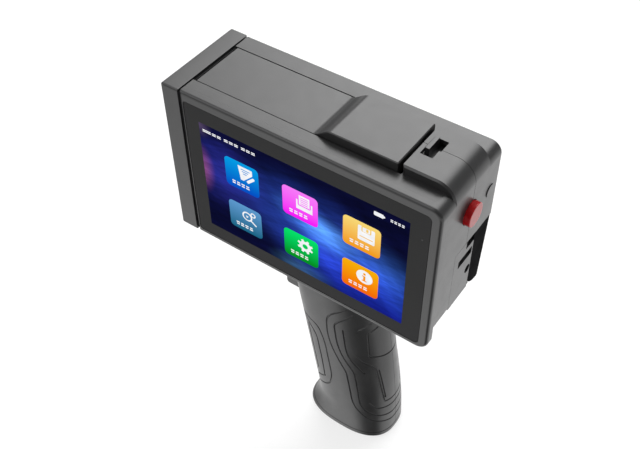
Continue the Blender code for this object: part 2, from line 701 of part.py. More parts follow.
def cartridge_bay():
    """The open trough under the lid that the ink cartridge sits in."""
    left, right, front, back, bottom, top = BAY
    trough = box((left, front, bottom), (right, back, top))
    room = box((left - REACH, front + BAY_SIDE, bottom + 2.3),
               (right - BAY_SIDE, back - BAY_SIDE, top + REACH))
    half = HINGE_PIN_RADIUS + 0.1
    pin_slot = box((HINGE[0] - half, front - REACH, HINGE[1] - half),
                   (HINGE[0] + half, back + REACH, top + REACH))
    hole = box((CONTACTS[0] - 0.4, CONTACTS[2] - 0.4, bottom - REACH),
               (CONTACTS[1] + 0.4, CONTACTS[3] + 0.4, bottom + REACH))
    cut(trough, room, pin_slot, hole)
    return as_piece(trough, "cartridge_bay", BLACK)


def cartridge_contacts():
    """The sprung contacts under the cartridge."""
    left, right, front, back = CONTACTS
    block = box((left, front, BAY[4] + 0.2), (right, back, CARTRIDGE[4] - GAP))
    return as_piece(block, "cartridge_contacts", GOLD)


def ink_cartridge():
    """The ink cartridge, lying with its snout in the printing face."""
    left, right, front, back, bottom, top = CARTRIDGE
    body = prism(
        rounded([(left, bottom, 2.0), (right, bottom, 2.0), (right, top, 4.0), (left, top, 9.0)], 3),
        "Y", front, back)
    snout = box((SNOUT[0], SNOUT[3], SNOUT[1]), (left + REACH, SNOUT[4], SNOUT[2]))
    return as_piece(join(body, snout), "ink_cartridge", BLACK)


def nozzle_plate():
    """The gold orifice plate on the end of the snout."""
    left = SNOUT[0] - GAP - NOZZLE_THICK
    front, back, bottom, top = NOZZLE
    return as_piece(box((left, front, bottom), (left + NOZZLE_THICK, back, top)), "nozzle_plate", GOLD)


def lid_profile():
    """Side view of the lid: flush, then a soft ramp up to the raised part."""
    low = STRIP_TOP - LID_THICK
    ramp = []
    for step in range(7):
        share = step / 6
        drop = (1 - math.cos(math.pi * share)) / 2
        x = RAMP_RIGHT + (RAMP_LEFT - RAMP_RIGHT) * share
        ramp.append((x, DECK_TOP + (STRIP_TOP - DECK_TOP) * drop))
    return [(LID_LEFT, low), (LID_RIGHT, low), (LID_RIGHT, DECK_TOP), *ramp, (LID_LEFT, STRIP_TOP)]


def cartridge_lid():
    """The lid over the cartridge, with two hinge lugs under its left end."""
    lid = prism(lid_profile(), "Y", LID_FRONT, LID_BACK)
    wall = LID_THICK - 0.2
    hollow = box((RAMP_RIGHT + 2, LID_FRONT + wall, STRIP_TOP - REACH),
                 (LID_RIGHT - wall, LID_BACK - wall, DECK_TOP - wall))
    cut(lid, hollow)
    half, length = HINGE_LUG
    for front in (LID_FRONT + 0.7, LID_BACK - 0.7 - length):
        lug = box((HINGE[0] - half, front, HINGE[1] - 2.2),
                  (HINGE[0] + half, front + length, STRIP_TOP - 0.5))
        join(lid, lug)
    bore = rod(HINGE, HINGE_PIN_RADIUS + 0.1, "Y", LID_FRONT - REACH, LID_BACK + REACH, 16)
    catch = box((LID_RIGHT - REACH, -LATCH_TONGUE[0] - 0.4, LATCH_TONGUE[1] - 0.7),
                (LID_RIGHT + REACH, LATCH_TONGUE[0] + 0.4, DECK_TOP - 2.0))
    cut(lid, bore, catch)
    return hang(as_piece(lid, "cartridge_lid", SHELL), HINGE[0], 0, HINGE[1])


def lid_hinge_pin():
    """The steel pin of the lid, held in the side walls of the bay."""
    pin = rod(HINGE, HINGE_PIN_RADIUS, "Y", BAY[2] + 0.2, BAY[3] - 0.2, 16)
    return as_piece(smooth(pin), "lid_hinge_pin", STEEL)


def lid_latch():
    """The slider that holds the lid: plate, tongue and thumb bar."""
    roof = DECK_TOP - WALL
    half, tongue_bottom = LATCH_TONGUE
    left, right, front, back, bottom = LATCH_SLIDER
    slider = box((left, front, bottom), (right, back, roof - GAP))
    for low, high in ((front - 2, -half - 0.4), (half + 0.4, back + 2)):
        cut(slider, box((HUMP_LEFT, low, bottom - REACH), (HUMP_LEFT + WALL + GAP, high, roof + REACH)))
    tongue = box((LID_RIGHT + 0.4, -half, tongue_bottom), (HUMP_LEFT + 3, half, roof - 0.4))
    left, right, front, back = LATCH_BAR
    bar = box((left, front, roof - 1), (right, back, DECK_TOP + 0.8))
    return hang(as_piece(join(slider, tongue, bar), "lid_latch", SHELL), left, 0, roof)


def latch_spring():
    """The spring that pushes the lid latch shut."""
    return as_piece(coil(*LATCH_SPRING, 1.2, 0.25, 4), "latch_spring", STEEL)


# Power button

def power_button():
    """The red button: cap, and the flange that keeps it in the wall."""
    inner = HEAD_RIGHT - WALL - GAP
    cap = rod((BUTTON_Y, BUTTON_Z), BUTTON_RADIUS, "X", inner - 1, HEAD_RIGHT + BUTTON_PROUD, 32)
    soften(cap, 0.4, 2)
    join(cap, rod((BUTTON_Y, BUTTON_Z), BUTTON_RADIUS + BUTTON_FLANGE, "X", inner - 2.0, inner, 32))
    return hang(as_piece(smooth(cap), "power_button", RED), HEAD_RIGHT, BUTTON_Y, BUTTON_Z)


def button_switch():
    """The tact switch behind the power button."""
    right = HEAD_RIGHT - WALL - GAP - 2.0 - BUTTON_TRAVEL - GAP
    depth, half = BUTTON_SWITCH
    switch = box((right - depth, BUTTON_Y - half, BUTTON_Z - half), (right, BUTTON_Y + half, BUTTON_Z + half))
    return as_piece(switch, "button_switch", BLACK)


# Grip

def grip_front_x(z):
    """The front edge of the grip in side view, with the toe that flares out at its foot."""
    rake = -16.1 - 0.18 * z
    toe = max(0.0, 1.0 - z / 19.0)
    return rake - 10.1 * toe ** 1.4


def grip_rear_x(z):
    """The rear edge of the grip in side view."""
    return 26.7 - 0.046 * z - 0.00072 * z * z


def grip_ring(z, shrink=0.0):
    """One horizontal section of the grip: a superellipse, rounder at the back of the hand."""
    front = grip_front_x(z) + shrink
    rear = grip_rear_x(z) - shrink
    wide = GRIP_HALF_WIDTH - shrink
    middle = (front + rear) / 2
    half = (rear - front) / 2
    rise = min(1.0, max(0.0, z) / GRIP_ROUND_FROM)
    rear_power = GRIP_REAR_POWERS[0] + (GRIP_REAR_POWERS[1] - GRIP_REAR_POWERS[0]) * rise
    ring = []
    for step in range(GRIP_POINTS):
        angle = 2 * math.pi * (step + 0.5) / GRIP_POINTS
        cosine = math.cos(angle)
        sine = math.sin(angle)
        power = 2 / (rear_power if cosine > 0 else GRIP_FRONT_POWER)
        x = middle + half * math.copysign(abs(cosine) ** power, cosine)
        y = wide * math.copysign(abs(sine) ** power, sine)
        ring.append((x * MM, y * MM, z * MM))
    return ring


def grip_loft(heights, shrink=0.0):
    """A solid through the grip's sections at these heights, with flat ends."""
    work = bmesh.new()
    rings = [[work.verts.new(point) for point in grip_ring(z, shrink)] for z in heights]
    for below, above in zip(rings, rings[1:]):
        for index in range(GRIP_POINTS):
            after = (index + 1) % GRIP_POINTS
            work.faces.new((below[index], below[after], above[after], above[index]))
    work.faces.new(list(reversed(rings[0])))
    work.faces.new(rings[-1])
    mesh = bpy.data.meshes.new("grip")
    work.to_mesh(mesh)
    work.free()
    made = bpy.data.objects.new("grip", mesh)
    bpy.context.scene.collection.objects.link(made)
    return made


def grip_half(name, side):
    """Half of the grip; side is -1 for the screen side and +1 for the back."""
    half = cut(grip_loft(GRIP_HEIGHTS), grip_loft(HOLLOW_HEIGHTS, WALL))
    pivot_x, pivot_z = TRIGGER_PIVOT
    near, far = TRIGGER_BOSS
    for low in (-far, near):
        join(half, box((pivot_x - 3.0, low, pivot_z - 3), (pivot_x + 3.5, low + far - near, pivot_z + 3)))
    slot = box((pivot_x - 22, -TRIGGER_HALF - 0.4, TRIGGER_BOTTOM - 0.6),
               (pivot_x + 11, TRIGGER_HALF + 0.4, pivot_z + 6.5))
    pin = far - 1.6
    bore = rod(TRIGGER_PIVOT, TRIGGER_PIN_RADIUS + 0.1, "Y", -pin, pin, 16)
    seam = sorted((SEAM_Y + side * GAP / 2, SEAM_Y - side * 60))
    away = box((-80, seam[0], -10), (80, seam[1], BODY_BOTTOM + 10))
    cut(half, slot, bore, away)
    if side > 0:
        sunk = GRIP_HALF_WIDTH - SCREW_SUNK
        for x, z in GRIP_SCREWS:
            cut(half, rod((x, z), SCREW_HEAD + GAP, "Y", sunk, GRIP_HALF_WIDTH + REACH, 16))
            cut(half, rod((x, z), SCREW_SHANK + GAP, "Y", GRIP_HALF_WIDTH - REACH, GRIP_HALF_WIDTH, 16))
    return as_piece(smooth(half), name, SHELL)


def base_cap():
    """The cap that closes the grip's foot, and that the printer stands on."""
    outline = [(x / MM, y / MM) for x, y, _ in grip_ring(0.5)]
    cap = prism(outline, "Z", 0.0, BASE_THICK)
    inner = [(x / MM, y / MM) for x, y, _ in grip_ring(8.0, WALL + 1.0)]
    plug = prism(inner, "Z", BASE_THICK - 1, BASE_THICK + 4)
    return as_piece(join(cap, plug), "base_cap", SHELL)


def trigger():
    """The trigger blade, hung on a pin near its top."""
    x, z = TRIGGER_PIVOT
    blade = prism(
        rounded([
            (x - 13.0, z + 5.0, 2.0),
            (x - 10.2, z - 10.0, 20.0),
            (x - 8.2, z - 22.0, 0),
            (x - 8.0, TRIGGER_BOTTOM, 1.8),
            (x + 7.0, TRIGGER_BOTTOM, 1.0),
            (x + 5.0, z + 5.0, 1.5),
        ], 3), "Y", -TRIGGER_HALF, TRIGGER_HALF)
    cut(blade, rod((x, z), TRIGGER_PIN_RADIUS + 0.1, "Y", -TRIGGER_HALF - 1, TRIGGER_HALF + 1, 16))
    return hang(as_piece(blade, "trigger", SHELL), x, 0, z)


def trigger_pin():
    """The steel pin of the trigger, held in bosses inside the grip."""
    half = TRIGGER_BOSS[1] - 1.9
    pin = rod(TRIGGER_PIVOT, TRIGGER_PIN_RADIUS, "Y", -half, half, 16)
    return as_piece(smooth(pin), "trigger_pin", STEEL)


def trigger_switch():
    """The microswitch that the trigger presses, with the seat of the trigger's spring on its carrier."""
    left, right, bottom, top = TRIGGER_SWITCH
    switch = box((left, -3.0, bottom), (right, 3.0, top))
    join(switch, box((SPRING_SEAT[0], -3.6, top - 4), (right - 2, 3.6, SPRING_SEAT[1])))
    return as_piece(switch, "trigger_switch", BLACK)


def trigger_spring():
    """The spring that pushes the trigger out again."""
    return as_piece(coil(*TRIGGER_SPRING, 2.0, 0.3, 5), "trigger_spring", STEEL)


def trigger_cable():
    """The two-core lead from the trigger switch to the main board."""
    knots = [
        (-8.2, 0, 98.7),
        (-3.5, 0, 101.7),
        (1, 0, 115.7),
        (3.5, 0, 128.7),
        (3.5, -1, 142.7),
        (3.5, -9, 152.7),
        (3.5, -17.6, 154.7),
    ]
    return as_piece(smooth(tube(smooth_path(knots), LEAD_RADIUS)), "trigger_cable", BLACK)


# Fasteners

def screw(name, x, z, back):
    """A pan-head screw whose head faces the back."""
    made = rod((x, z), SCREW_HEAD, "Y", back - 1.2, back - 0.1, 16)
    join(made, rod((x, z), SCREW_SHANK, "Y", back - 7.0, back - 0.6, 12))
    return as_piece(smooth(made), name, STEEL)


def fasteners():
    """The screws of the rear shell and of the grip."""
    for index, (x, z) in enumerate(SHELL_SCREWS, 1):
        screw(f"shell_screw_{index}", x, z, HEAD_BACK)
    for index, (x, z) in enumerate(GRIP_SCREWS, 1):
        screw(f"grip_screw_{index}", x, z, GRIP_HALF_WIDTH)


def build():
    """Make every piece of the printer."""
    for make in (
        print_plate, encoder, bezel_frame, touch_glass, lcd_panel, lcd_ribbon,
        front_shell, rear_shell, end_plug, port_panel, usb_port, dc_jack, port_board, main_board, buzzer,
        battery_pack, battery_contacts, battery_latch,
        cartridge_bay, cartridge_contacts, ink_cartridge, nozzle_plate,
        cartridge_lid, lid_hinge_pin, lid_latch, latch_spring, power_button, button_switch,
        base_cap, trigger, trigger_pin, trigger_switch, trigger_spring, trigger_cable, fasteners,
    ):
        make()
    grip_half("grip_front", -1)
    grip_half("grip_rear", 1)


clear_scene()
build()
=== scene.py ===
"""Looks of the hand-held date code printer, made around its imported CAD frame.

Lengths are in millimetres and become metres where a mesh is written. The places
come from the frame's boxes. X runs from the printing face to the end with the
ports, Y from the screen to the back cover, and Z is up.
"""
import math

import bmesh
import bpy
from mathutils import Matrix, Vector


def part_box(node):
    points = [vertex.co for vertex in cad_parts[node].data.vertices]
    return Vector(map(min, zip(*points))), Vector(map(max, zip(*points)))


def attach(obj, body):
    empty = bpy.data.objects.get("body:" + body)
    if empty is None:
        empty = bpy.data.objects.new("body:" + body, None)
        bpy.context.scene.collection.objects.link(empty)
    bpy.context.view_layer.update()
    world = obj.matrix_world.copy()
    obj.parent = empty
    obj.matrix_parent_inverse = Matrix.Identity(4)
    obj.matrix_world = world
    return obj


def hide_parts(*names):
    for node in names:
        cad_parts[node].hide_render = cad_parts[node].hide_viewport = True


MM = 0.001

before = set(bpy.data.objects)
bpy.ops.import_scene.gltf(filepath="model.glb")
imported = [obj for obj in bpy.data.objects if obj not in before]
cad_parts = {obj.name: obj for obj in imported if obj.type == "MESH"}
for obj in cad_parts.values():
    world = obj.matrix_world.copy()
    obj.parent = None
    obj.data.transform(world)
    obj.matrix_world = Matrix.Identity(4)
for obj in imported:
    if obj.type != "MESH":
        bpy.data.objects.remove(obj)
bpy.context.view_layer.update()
BODY = "printer"


# Places taken from the frame

def corners(node):
    """Lowest and highest corner of a CAD node, in millimetres."""
    low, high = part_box(node)
    return low / MM, high / MM


def middle(node, axes):
    """The middle of a CAD node on two axes, such as "yz"."""
    low, high = corners(node)
    centre = (low + high) / 2
    return tuple(getattr(centre, axis) for axis in axes)


PLATE_LOW, PLATE_HIGH = corners("print_plate")
BEZEL_LOW, BEZEL_HIGH = corners("bezel_frame")
GLASS_LOW, GLASS_HIGH = corners("touch_glass")
LCD_LOW, LCD_HIGH = corners("lcd_panel")
SHELL_LOW, SHELL_HIGH = corners("front_shell")
LID_LOW, LID_HIGH = corners("cartridge_lid")
LATCH_LOW, LATCH_HIGH = corners("lid_latch")
PLUG_LOW, PLUG_HIGH = corners("end_plug")
PANEL_LOW, PANEL_HIGH = corners("port_panel")
USB_LOW, USB_HIGH = corners("usb_port")
JACK_LOW, JACK_HIGH = corners("dc_jack")
BATTERY_LOW, BATTERY_HIGH = corners("battery_pack")
CATCH_LOW, CATCH_HIGH = corners("battery_latch")
TYRE_LOW, TYRE_HIGH = corners("encoder_tyre")
GRIP_LOW, GRIP_HIGH = corners("grip_front")
TRIGGER_LOW, TRIGGER_HIGH = corners("trigger")

STRIP_TOP = PLATE_HIGH.z
DECK_TOP = SHELL_HIGH.z
HEAD_RIGHT = SHELL_HIGH.x
HEAD_BACK = corners("rear_shell")[1].y
LID_TRAVEL_GAP = 1.8
HUMP_LEFT = LID_HIGH.x + LID_TRAVEL_GAP
HEAD_LEFT = SHELL_LOW.x - 0.5    # the strips beside the lid reach a little further than the lid
LID_FLOOR = 197.2                # bottom of the opening under the lid
WALL = 2.2
GAP = 0.3                        # clearance of what slides or drops in
HAIRLINE = 0.1                   # half the width of a fine parting line
REACH = 5.0                      # how far a cutting tool goes past what it cuts
HUMP_ROUND = 9.5
BODY_ROUND = 5.5
PIN_BORE = 1.1                   # radius of the bores for the hinge pins and the axle
HINGE = middle("lid_hinge_pin", "xz")
TRIGGER_PIVOT = middle("trigger_pin", "xz")
BUTTON_CENTRE = middle("power_button", "yz")
BUTTON_RADIUS = 5.7
PLUG_CENTRE = middle("end_plug", "yz")
PLUG_RADIUS = (PLUG_HIGH.y - PLUG_LOW.y) / 2
USB_CENTRE = (1.05, 156.4)
USB_HOLE = (12.1, 4.4)
JACK_CENTRE = (5.4, 145.0)
JACK_RADIUS = 2.2
LATCH_BAR_LOW = (29.1, -3.6)
LATCH_BAR_HIGH = (31.2, 5.3)
SNOUT_WINDOW = (-9.0, 5.6, 150.2, 173.2)     # front, back, bottom, top
RIBBON_SLOT = (-11.5, 11.5, 153.2, 158.2)    # left, right, bottom, top
SHELL_SCREWS = [f"shell_screw_{number}" for number in range(1, 5)]
GRIP_SCREWS = [f"grip_screw_{number}" for number in range(1, 4)]


# Mesh tools

def new_object(name, data):
    """An object for a mesh or a camera, in the scene."""
    made = bpy.data.objects.new(name, data)
    bpy.context.scene.collection.objects.link(made)
    return made


def rounded(points, steps=8):
    """An outline whose corners (u, v, radius) are turned into arcs."""
    outline = []
    count = len(points)
    for index, (u, v, radius) in enumerate(points):
        here = Vector((u, v))
        if radius <= 0:
            outline.append(here)
            continue
        back = (Vector(points[index - 1][:2]) - here).normalized()
        ahead = (Vector(points[(index + 1) % count][:2]) - here).normalized()
        half = back.angle(ahead) / 2
        centre = here + (back + ahead).normalized() * radius / math.sin(half)
        start = here + back * radius / math.tan(half) - centre
        sweep = start.angle_signed(here + ahead * radius / math.tan(half) - centre)
        for step in range(steps + 1):
            outline.append(centre + Matrix.Rotation(-sweep * step / steps, 2) @ start)
    return outline


def rectangle(low, high, radii=(0, 0, 0, 0), steps=8):
    """A rectangle's outline; its radii go round from the low left corner by the low right one."""
    (left, bottom), (right, top) = low, high
    places = ((left, bottom), (right, bottom), (right, top), (left, top))
    return rounded([(*place, radius) for place, radius in zip(places, radii)], steps)


def place_point(u, v, along, axis):
    """A point of an outline that is pushed along an axis."""
    if axis == "X":
        return Vector((along, u, v)) * MM
    if axis == "Y":
        return Vector((u, along, v)) * MM
    return Vector((u, v, along)) * MM


def finished(work):
    """An object in the scene, made from a bmesh."""
    mesh = bpy.data.meshes.new("mesh")
    work.to_mesh(mesh)
    work.free()
    return new_object("solid", mesh)


def skinned(rings):
    """A closed solid through rings of as many points each."""
    work = bmesh.new()
    rings = [[work.verts.new(point) for point in ring] for ring in rings]
    for below, above in zip(rings, rings[1:]):
        for index in range(len(below)):
            after = (index + 1) % len(below)
            work.faces.new((below[index], below[after], above[after], above[index]))
    work.faces.new(rings[0])
    work.faces.new(rings[-1])
    bmesh.ops.recalc_face_normals(work, faces=work.faces)
    return finished(work)


def prism(outline, axis, low, high):
    """A solid with a flat outline: (y, z) along X, (x, z) along Y, (x, y) along Z."""
    return skinned([[place_point(u, v, at, axis) for u, v in outline] for at in (low, high)])


def box(low, high):
    """A solid box between two corners."""
    outline = [(low[0], low[1]), (high[0], low[1]), (high[0], high[1]), (low[0], high[1])]
    return prism(outline, "Z", low[2], high[2])


def polar(centre, radius, turn):
    """The point at a distance and an angle from a centre."""
    return centre[0] + radius * math.cos(turn), centre[1] + radius * math.sin(turn)


def circle(centre, radius, sides):
    """Points round a circle."""
    return [polar(centre, radius, 2 * math.pi * step / sides) for step in range(sides)]


def quarter(centre, reach, steps):
    """A quarter of an oval, from the point beside its centre, which is left out, to the one above."""
    turns = [math.pi / 2 * step / steps for step in range(1, steps + 1)]
    return [(centre[0] + reach[0] * math.cos(turn), centre[1] + reach[1] * math.sin(turn)) for turn in turns]


def lathe(profile, centre, axis, sides):
    """A solid turned about an axis: the profile is (radius, place along the axis)."""
    return skinned([[place_point(u, v, along, axis) for u, v in circle(centre, radius, sides)]
                    for radius, along in profile])


def rod(centre, radius, axis, low, high, sides):
    """A plain round bar."""
    return lathe([(radius, low), (radius, high)], centre, axis, sides)


def apply_modifiers(obj):
    """Turn an object's modifiers into mesh."""
    graph = bpy.context.evaluated_depsgraph_get()
    mesh = bpy.data.meshes.new_from_object(obj.evaluated_get(graph))
    obj.modifiers.clear()
    old = obj.data
    obj.data = mesh
    bpy.data.meshes.remove(old)
    return obj


def combine(obj, others, operation):
    """Cut helpers out of a piece or fuse them with it, and remove them."""
    for other in others:
        modifier = obj.modifiers.new("boolean", "BOOLEAN")
        modifier.operation = operation
        modifier.solver = "EXACT"
        modifier.object = other
        bpy.context.view_layer.update()
        apply_modifiers(obj)
        bpy.data.objects.remove(other, do_unlink=True)
    return obj


def cut(obj, *others):
    """Take helpers away from a piece."""
    return combine(obj, others, "DIFFERENCE")


def fuse(obj, *others):
    """Add helpers to a piece."""
    return combine(obj, others, "UNION")


def bevel_where(obj, width, segments, wanted, sharper_than=20.0):
    """Round the sharp edges for which wanted(middle, direction) is true."""
    work = bmesh.new()
    work.from_mesh(obj.data)
    chosen = []
    for edge in work.edges:
        if len(edge.link_faces) != 2 or edge.calc_face_angle(0.0) < math.radians(sharper_than):
            continue
        ends = [vert.co / MM for vert in edge.verts]
        if wanted((ends[0] + ends[1]) / 2, (ends[1] - ends[0]).normalized()):
            chosen.append(edge)
    bmesh.ops.bevel(work, geom=chosen, offset=width * MM, segments=segments, profile=0.5,
                    affect="EDGES", clamp_overlap=True)
    work.to_mesh(obj.data)
    work.free()
    return obj


def tidy_mesh(obj):
    """Weld what a Boolean left split, and drop slivers."""
    work = bmesh.new()
    work.from_mesh(obj.data)
    bmesh.ops.remove_doubles(work, verts=work.verts, dist=1e-7)
    bmesh.ops.dissolve_degenerate(work, dist=1e-7, edges=work.edges)
    bmesh.ops.recalc_face_normals(work, faces=work.faces)
    work.to_mesh(obj.data)
    work.free()


def shade(obj, angle):
    """Smooth shading, with real edges kept sharp."""
    obj.data.shade_smooth()
    obj.data.set_sharp_from_angle(angle=math.radians(angle))


def level_normals(obj):
    """Let the large faces set the shading, so that flat faces look flat beside their bevels."""
    modifier = obj.modifiers.new("level", "WEIGHTED_NORMAL")
    modifier.mode = "FACE_AREA"
    modifier.weight = 50
    modifier.keep_sharp = True
    apply_modifiers(obj)


def piece(obj, name, look, nodes=(), body=BODY, angle=32.0):
    """Name a finished piece, give it its look and tie it to the frame."""
    tidy_mesh(obj)
    shade(obj, angle)
    level_normals(obj)
    obj.name = name
    obj.data.name = name
    obj.data.materials.clear()
    obj.data.materials.append(look)
    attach(obj, body)
    if nodes:
        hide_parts(*nodes)


# Materials

def shader_of(name):
    """A new material, its node tree and its Principled shader."""
    made = bpy.data.materials.new(name)
    made.use_nodes = True
    tree = made.node_tree
    return made, tree, tree.nodes["Principled BSDF"]


def feed(tree, node, **values):
    """Give inputs, called in_ and a name or number, a plain value or another node's output."""
    for key, value in values.items():
        slot = key[3:]
        socket = node.inputs[int(slot) if slot.isdigit() else slot.replace("_", " ")]
        if isinstance(value, bpy.types.NodeSocket):
            tree.links.new(value, socket)
        else:
            socket.default_value = value


def add(tree, kind, **values):
    """A node with its properties set and its inputs fed."""
    node = tree.nodes.new(kind)
    inputs = {}
    for key, value in values.items():
        if key.startswith("in_"):
            inputs[key] = value
        else:
            setattr(node, key, value)
    feed(tree, node, **inputs)
    return node


def place_in(tree):
    """Where a point is, in the object's own coordinates."""
    return add(tree, "ShaderNodeTexCoord").outputs["Object"]


def noise(tree, scale, detail=3.0, roughness=0.5):
    """Noise in the object's own coordinates."""
    return add(tree, "ShaderNodeTexNoise", in_Scale=scale, in_Detail=detail, in_Roughness=roughness,
               in_Vector=place_in(tree)).outputs["Fac"]


def ramp(tree, source, low, high, to_low, to_high, curve="LINEAR"):
    """Map a range of a value to another range."""
    return add(tree, "ShaderNodeMapRange", interpolation_type=curve, in_0=source, in_1=low, in_2=high,
               in_3=to_low, in_4=to_high).outputs[0]


def mottle(tree, source, dark, light, places=(0.3, 0.7)):
    """A colour between two that follows a value."""
    made = add(tree, "ShaderNodeValToRGB", in_Fac=source)
    for element, place, colour in zip(made.color_ramp.elements, places, (dark, light)):
        element.position = place
        element.color = (*colour, 1)
    return made.outputs["Color"]


def relief_of(tree, height, distance):
    """A surface direction that follows a height."""
    return add(tree, "ShaderNodeBump", in_Strength=1.0, in_Distance=distance, in_Height=height).outputs[0]


def moulded(name, dark, light, rough, grain=3200.0, relief=0.000012, specular=0.5, ior=1.5):
    """Moulded plastic: fine spark-eroded grain, and a little unevenness in colour and gloss."""
    made, tree, shader = shader_of(name)
    feed(tree, shader, in_Base_Color=mottle(tree, noise(tree, 45.0, 4.0), dark, light),
         in_Roughness=ramp(tree, noise(tree, 160.0), 0.3, 0.7, *rough),
         in_Specular_IOR_Level=specular, in_IOR=ior,
         in_Normal=relief_of(tree, noise(tree, grain, 2.0), relief))
    return made


def metal(name, dark, light, rough):
    """Worked metal with fine marks."""
    made, tree, shader = shader_of(name)
    marks = noise(tree, 900.0, 3.0, 0.6)
    feed(tree, shader, in_Base_Color=mottle(tree, marks, dark, light),
         in_Roughness=ramp(tree, marks, 0.3, 0.7, *rough), in_Metallic=1.0,
         in_Normal=relief_of(tree, marks, 0.000004))
    return made


SHELL = moulded("shell_plastic", (0.0175, 0.0175, 0.018), (0.0205, 0.0205, 0.021), (0.3, 0.34),
                specular=0.53)
GRIP = moulded("grip_plastic", (0.0125, 0.0125, 0.013), (0.0155, 0.0155, 0.016), (0.3, 0.36),
               2600.0, specular=0.56)
MATTE = moulded("battery_plastic", (0.0055, 0.0055, 0.006), (0.0075, 0.0075, 0.008), (0.55, 0.65),
                2200.0, 0.00001, 0.2, 1.06)
INSIDE = moulded("inner_plastic", (0.012, 0.012, 0.013), (0.018, 0.018, 0.019), (0.5, 0.6))
RED = moulded("button_red", (0.39, 0.006, 0.008), (0.43, 0.008, 0.011), (0.22, 0.26),
              1500.0, 0.000003, 0.27)
GLASS = moulded("cover_glass_black", (0.036, 0.036, 0.0365), (0.0385, 0.0385, 0.039), (0.08, 0.12),
                300.0, 0.0000005, 0.3, 1.1)
RUBBER = moulded("tyre_rubber", (0.012, 0.012, 0.012), (0.02, 0.02, 0.02), (0.75, 0.9), 1800.0, 0.00005)
TONGUE = moulded("socket_tongue", (0.55, 0.55, 0.53), (0.62, 0.62, 0.6), (0.4, 0.5))
SOLDER_MASK = moulded("solder_mask", (0.008, 0.075, 0.03), (0.014, 0.11, 0.045), (0.25, 0.4),
                      900.0, 0.00003)
RIBBON = moulded("ribbon_film", (0.35, 0.17, 0.03), (0.45, 0.24, 0.05), (0.25, 0.35), 500.0, 0.00001)
STEEL = metal("bright_steel", (0.50, 0.50, 0.51), (0.66, 0.66, 0.67), (0.2, 0.34))
SCREW = metal("black_screw", (0.02, 0.02, 0.021), (0.05, 0.05, 0.052), (0.35, 0.5))
GOLD = metal("gold_plate", (0.70, 0.44, 0.14), (0.84, 0.58, 0.24), (0.18, 0.3))


# Head

def head_solid():
    """The head's body and the hump on its end, with their outer edges rounded."""
    front, back = SHELL_LOW.y, HEAD_BACK
    body = prism(rectangle((HEAD_LEFT, SHELL_LOW.z), (HEAD_RIGHT, STRIP_TOP), (0, 2.0, BODY_ROUND, 0), 12),
                 "Y", front, back)
    bevel_where(body, 0.8, 3, lambda at, way: at.y > back - 0.01)
    hump = prism(rectangle((HUMP_LEFT, STRIP_TOP - 9), (HEAD_RIGHT + 0.003, DECK_TOP),
                           (0, 0, HUMP_ROUND, 0), 20), "Y", LID_LOW.y, LID_HIGH.y)
    bevel_where(hump, 0.8, 1, lambda at, way: min(at.y - LID_LOW.y, LID_HIGH.y - at.y) < 0.01)
    return fuse(body, hump)


def head_hollow():
    """The room inside the head, low and under the hump."""
    left, right = SHELL_LOW.x + WALL, HEAD_RIGHT - WALL
    low = prism(rectangle((left, SHELL_LOW.z + WALL), (right, STRIP_TOP - WALL),
                          (0, 0, BODY_ROUND - WALL, 0), 4), "Y", SHELL_LOW.y + WALL, HEAD_BACK - WALL)
    high = prism(rectangle((HUMP_LEFT + WALL, STRIP_TOP - 12), (right - 0.1, DECK_TOP - WALL),
                           (0, 0, HUMP_ROUND - WALL, 0), 10), "Y", LID_LOW.y + WALL, LID_HIGH.y - WALL)
    return low, high


def head_openings():
    """What is cut from both mouldings."""
    front, back, bottom, top = SNOUT_WINDOW
    lid_room = box((SHELL_LOW.x - REACH, LID_LOW.y - GAP - 0.05, LID_FLOOR),
                   (HUMP_LEFT, LID_HIGH.y + GAP + 0.15, DECK_TOP + REACH))
    snout = box((SHELL_LOW.x - REACH, front - 1.5, bottom - 1.5),
                (SHELL_LOW.x + REACH, back + 1.5, top + 1.5))
    tongue = box((HUMP_LEFT - 1, -5.4, 205.6), (HUMP_LEFT + WALL + 1, 5.4, 208.6))
    slot = prism(
        rounded([
            (28.5, -6.3, 0.4), (34.3, -6.3, 0.4), (34.3, -1.0, 0.2),
            (35.2, -1.0, 0.4), (35.2, 5.6, 0.4), (28.5, 5.6, 0.4),
        ], 3), "Z", DECK_TOP - WALL - 1, DECK_TOP + REACH)
    room = rod(BUTTON_CENTRE, BUTTON_RADIUS + GAP, "X", HEAD_RIGHT - REACH, HEAD_RIGHT + REACH, 64)
    ports = box((PANEL_LOW.x - GAP, PANEL_LOW.y - 0.18, SHELL_LOW.z - REACH),
                (HEAD_RIGHT + REACH, PANEL_HIGH.y + GAP, PANEL_HIGH.z + GAP))
    cable = box((0.8, -6.0, SHELL_LOW.z - REACH), (6.2, 6.0, SHELL_LOW.z + REACH))
    return lid_room, snout, tongue, slot, room, ports, cable


def ribbon_slot(front, back):
    """The slot for the display's ribbon."""
    left, right, bottom, top = RIBBON_SLOT
    return box((left, front, bottom), (right, back, top))


def front_moulding():
    """The screen side of the head; the fillet under it, behind the hanging bezel, is part of the bezel."""
    shell = cut(head_solid(), *head_hollow(), *head_openings())
    behind = box((SHELL_LOW.x - REACH, -HAIRLINE, SHELL_LOW.z - REACH),
                 (HEAD_RIGHT + REACH, HEAD_BACK + REACH, DECK_TOP + REACH))
    cut(shell, behind, ribbon_slot(SHELL_LOW.y - REACH, SHELL_LOW.y + REACH))
    piece(shell, "front_moulding", SHELL, ["front_shell"])


def bezel_fillet():
    """The concave strip between the back of the bezel and the underside of the head."""
    radius = 4.0
    front = SHELL_LOW.y
    top = SHELL_LOW.z + 0.5
    low = SHELL_LOW.z - radius
    outline = [(front, top), (front, low), *quarter((front + radius, low), (-radius, radius), 8),
               (front + radius, top)]
    return prism(outline, "X", HEAD_LEFT + 0.4, HEAD_RIGHT - 2.2)


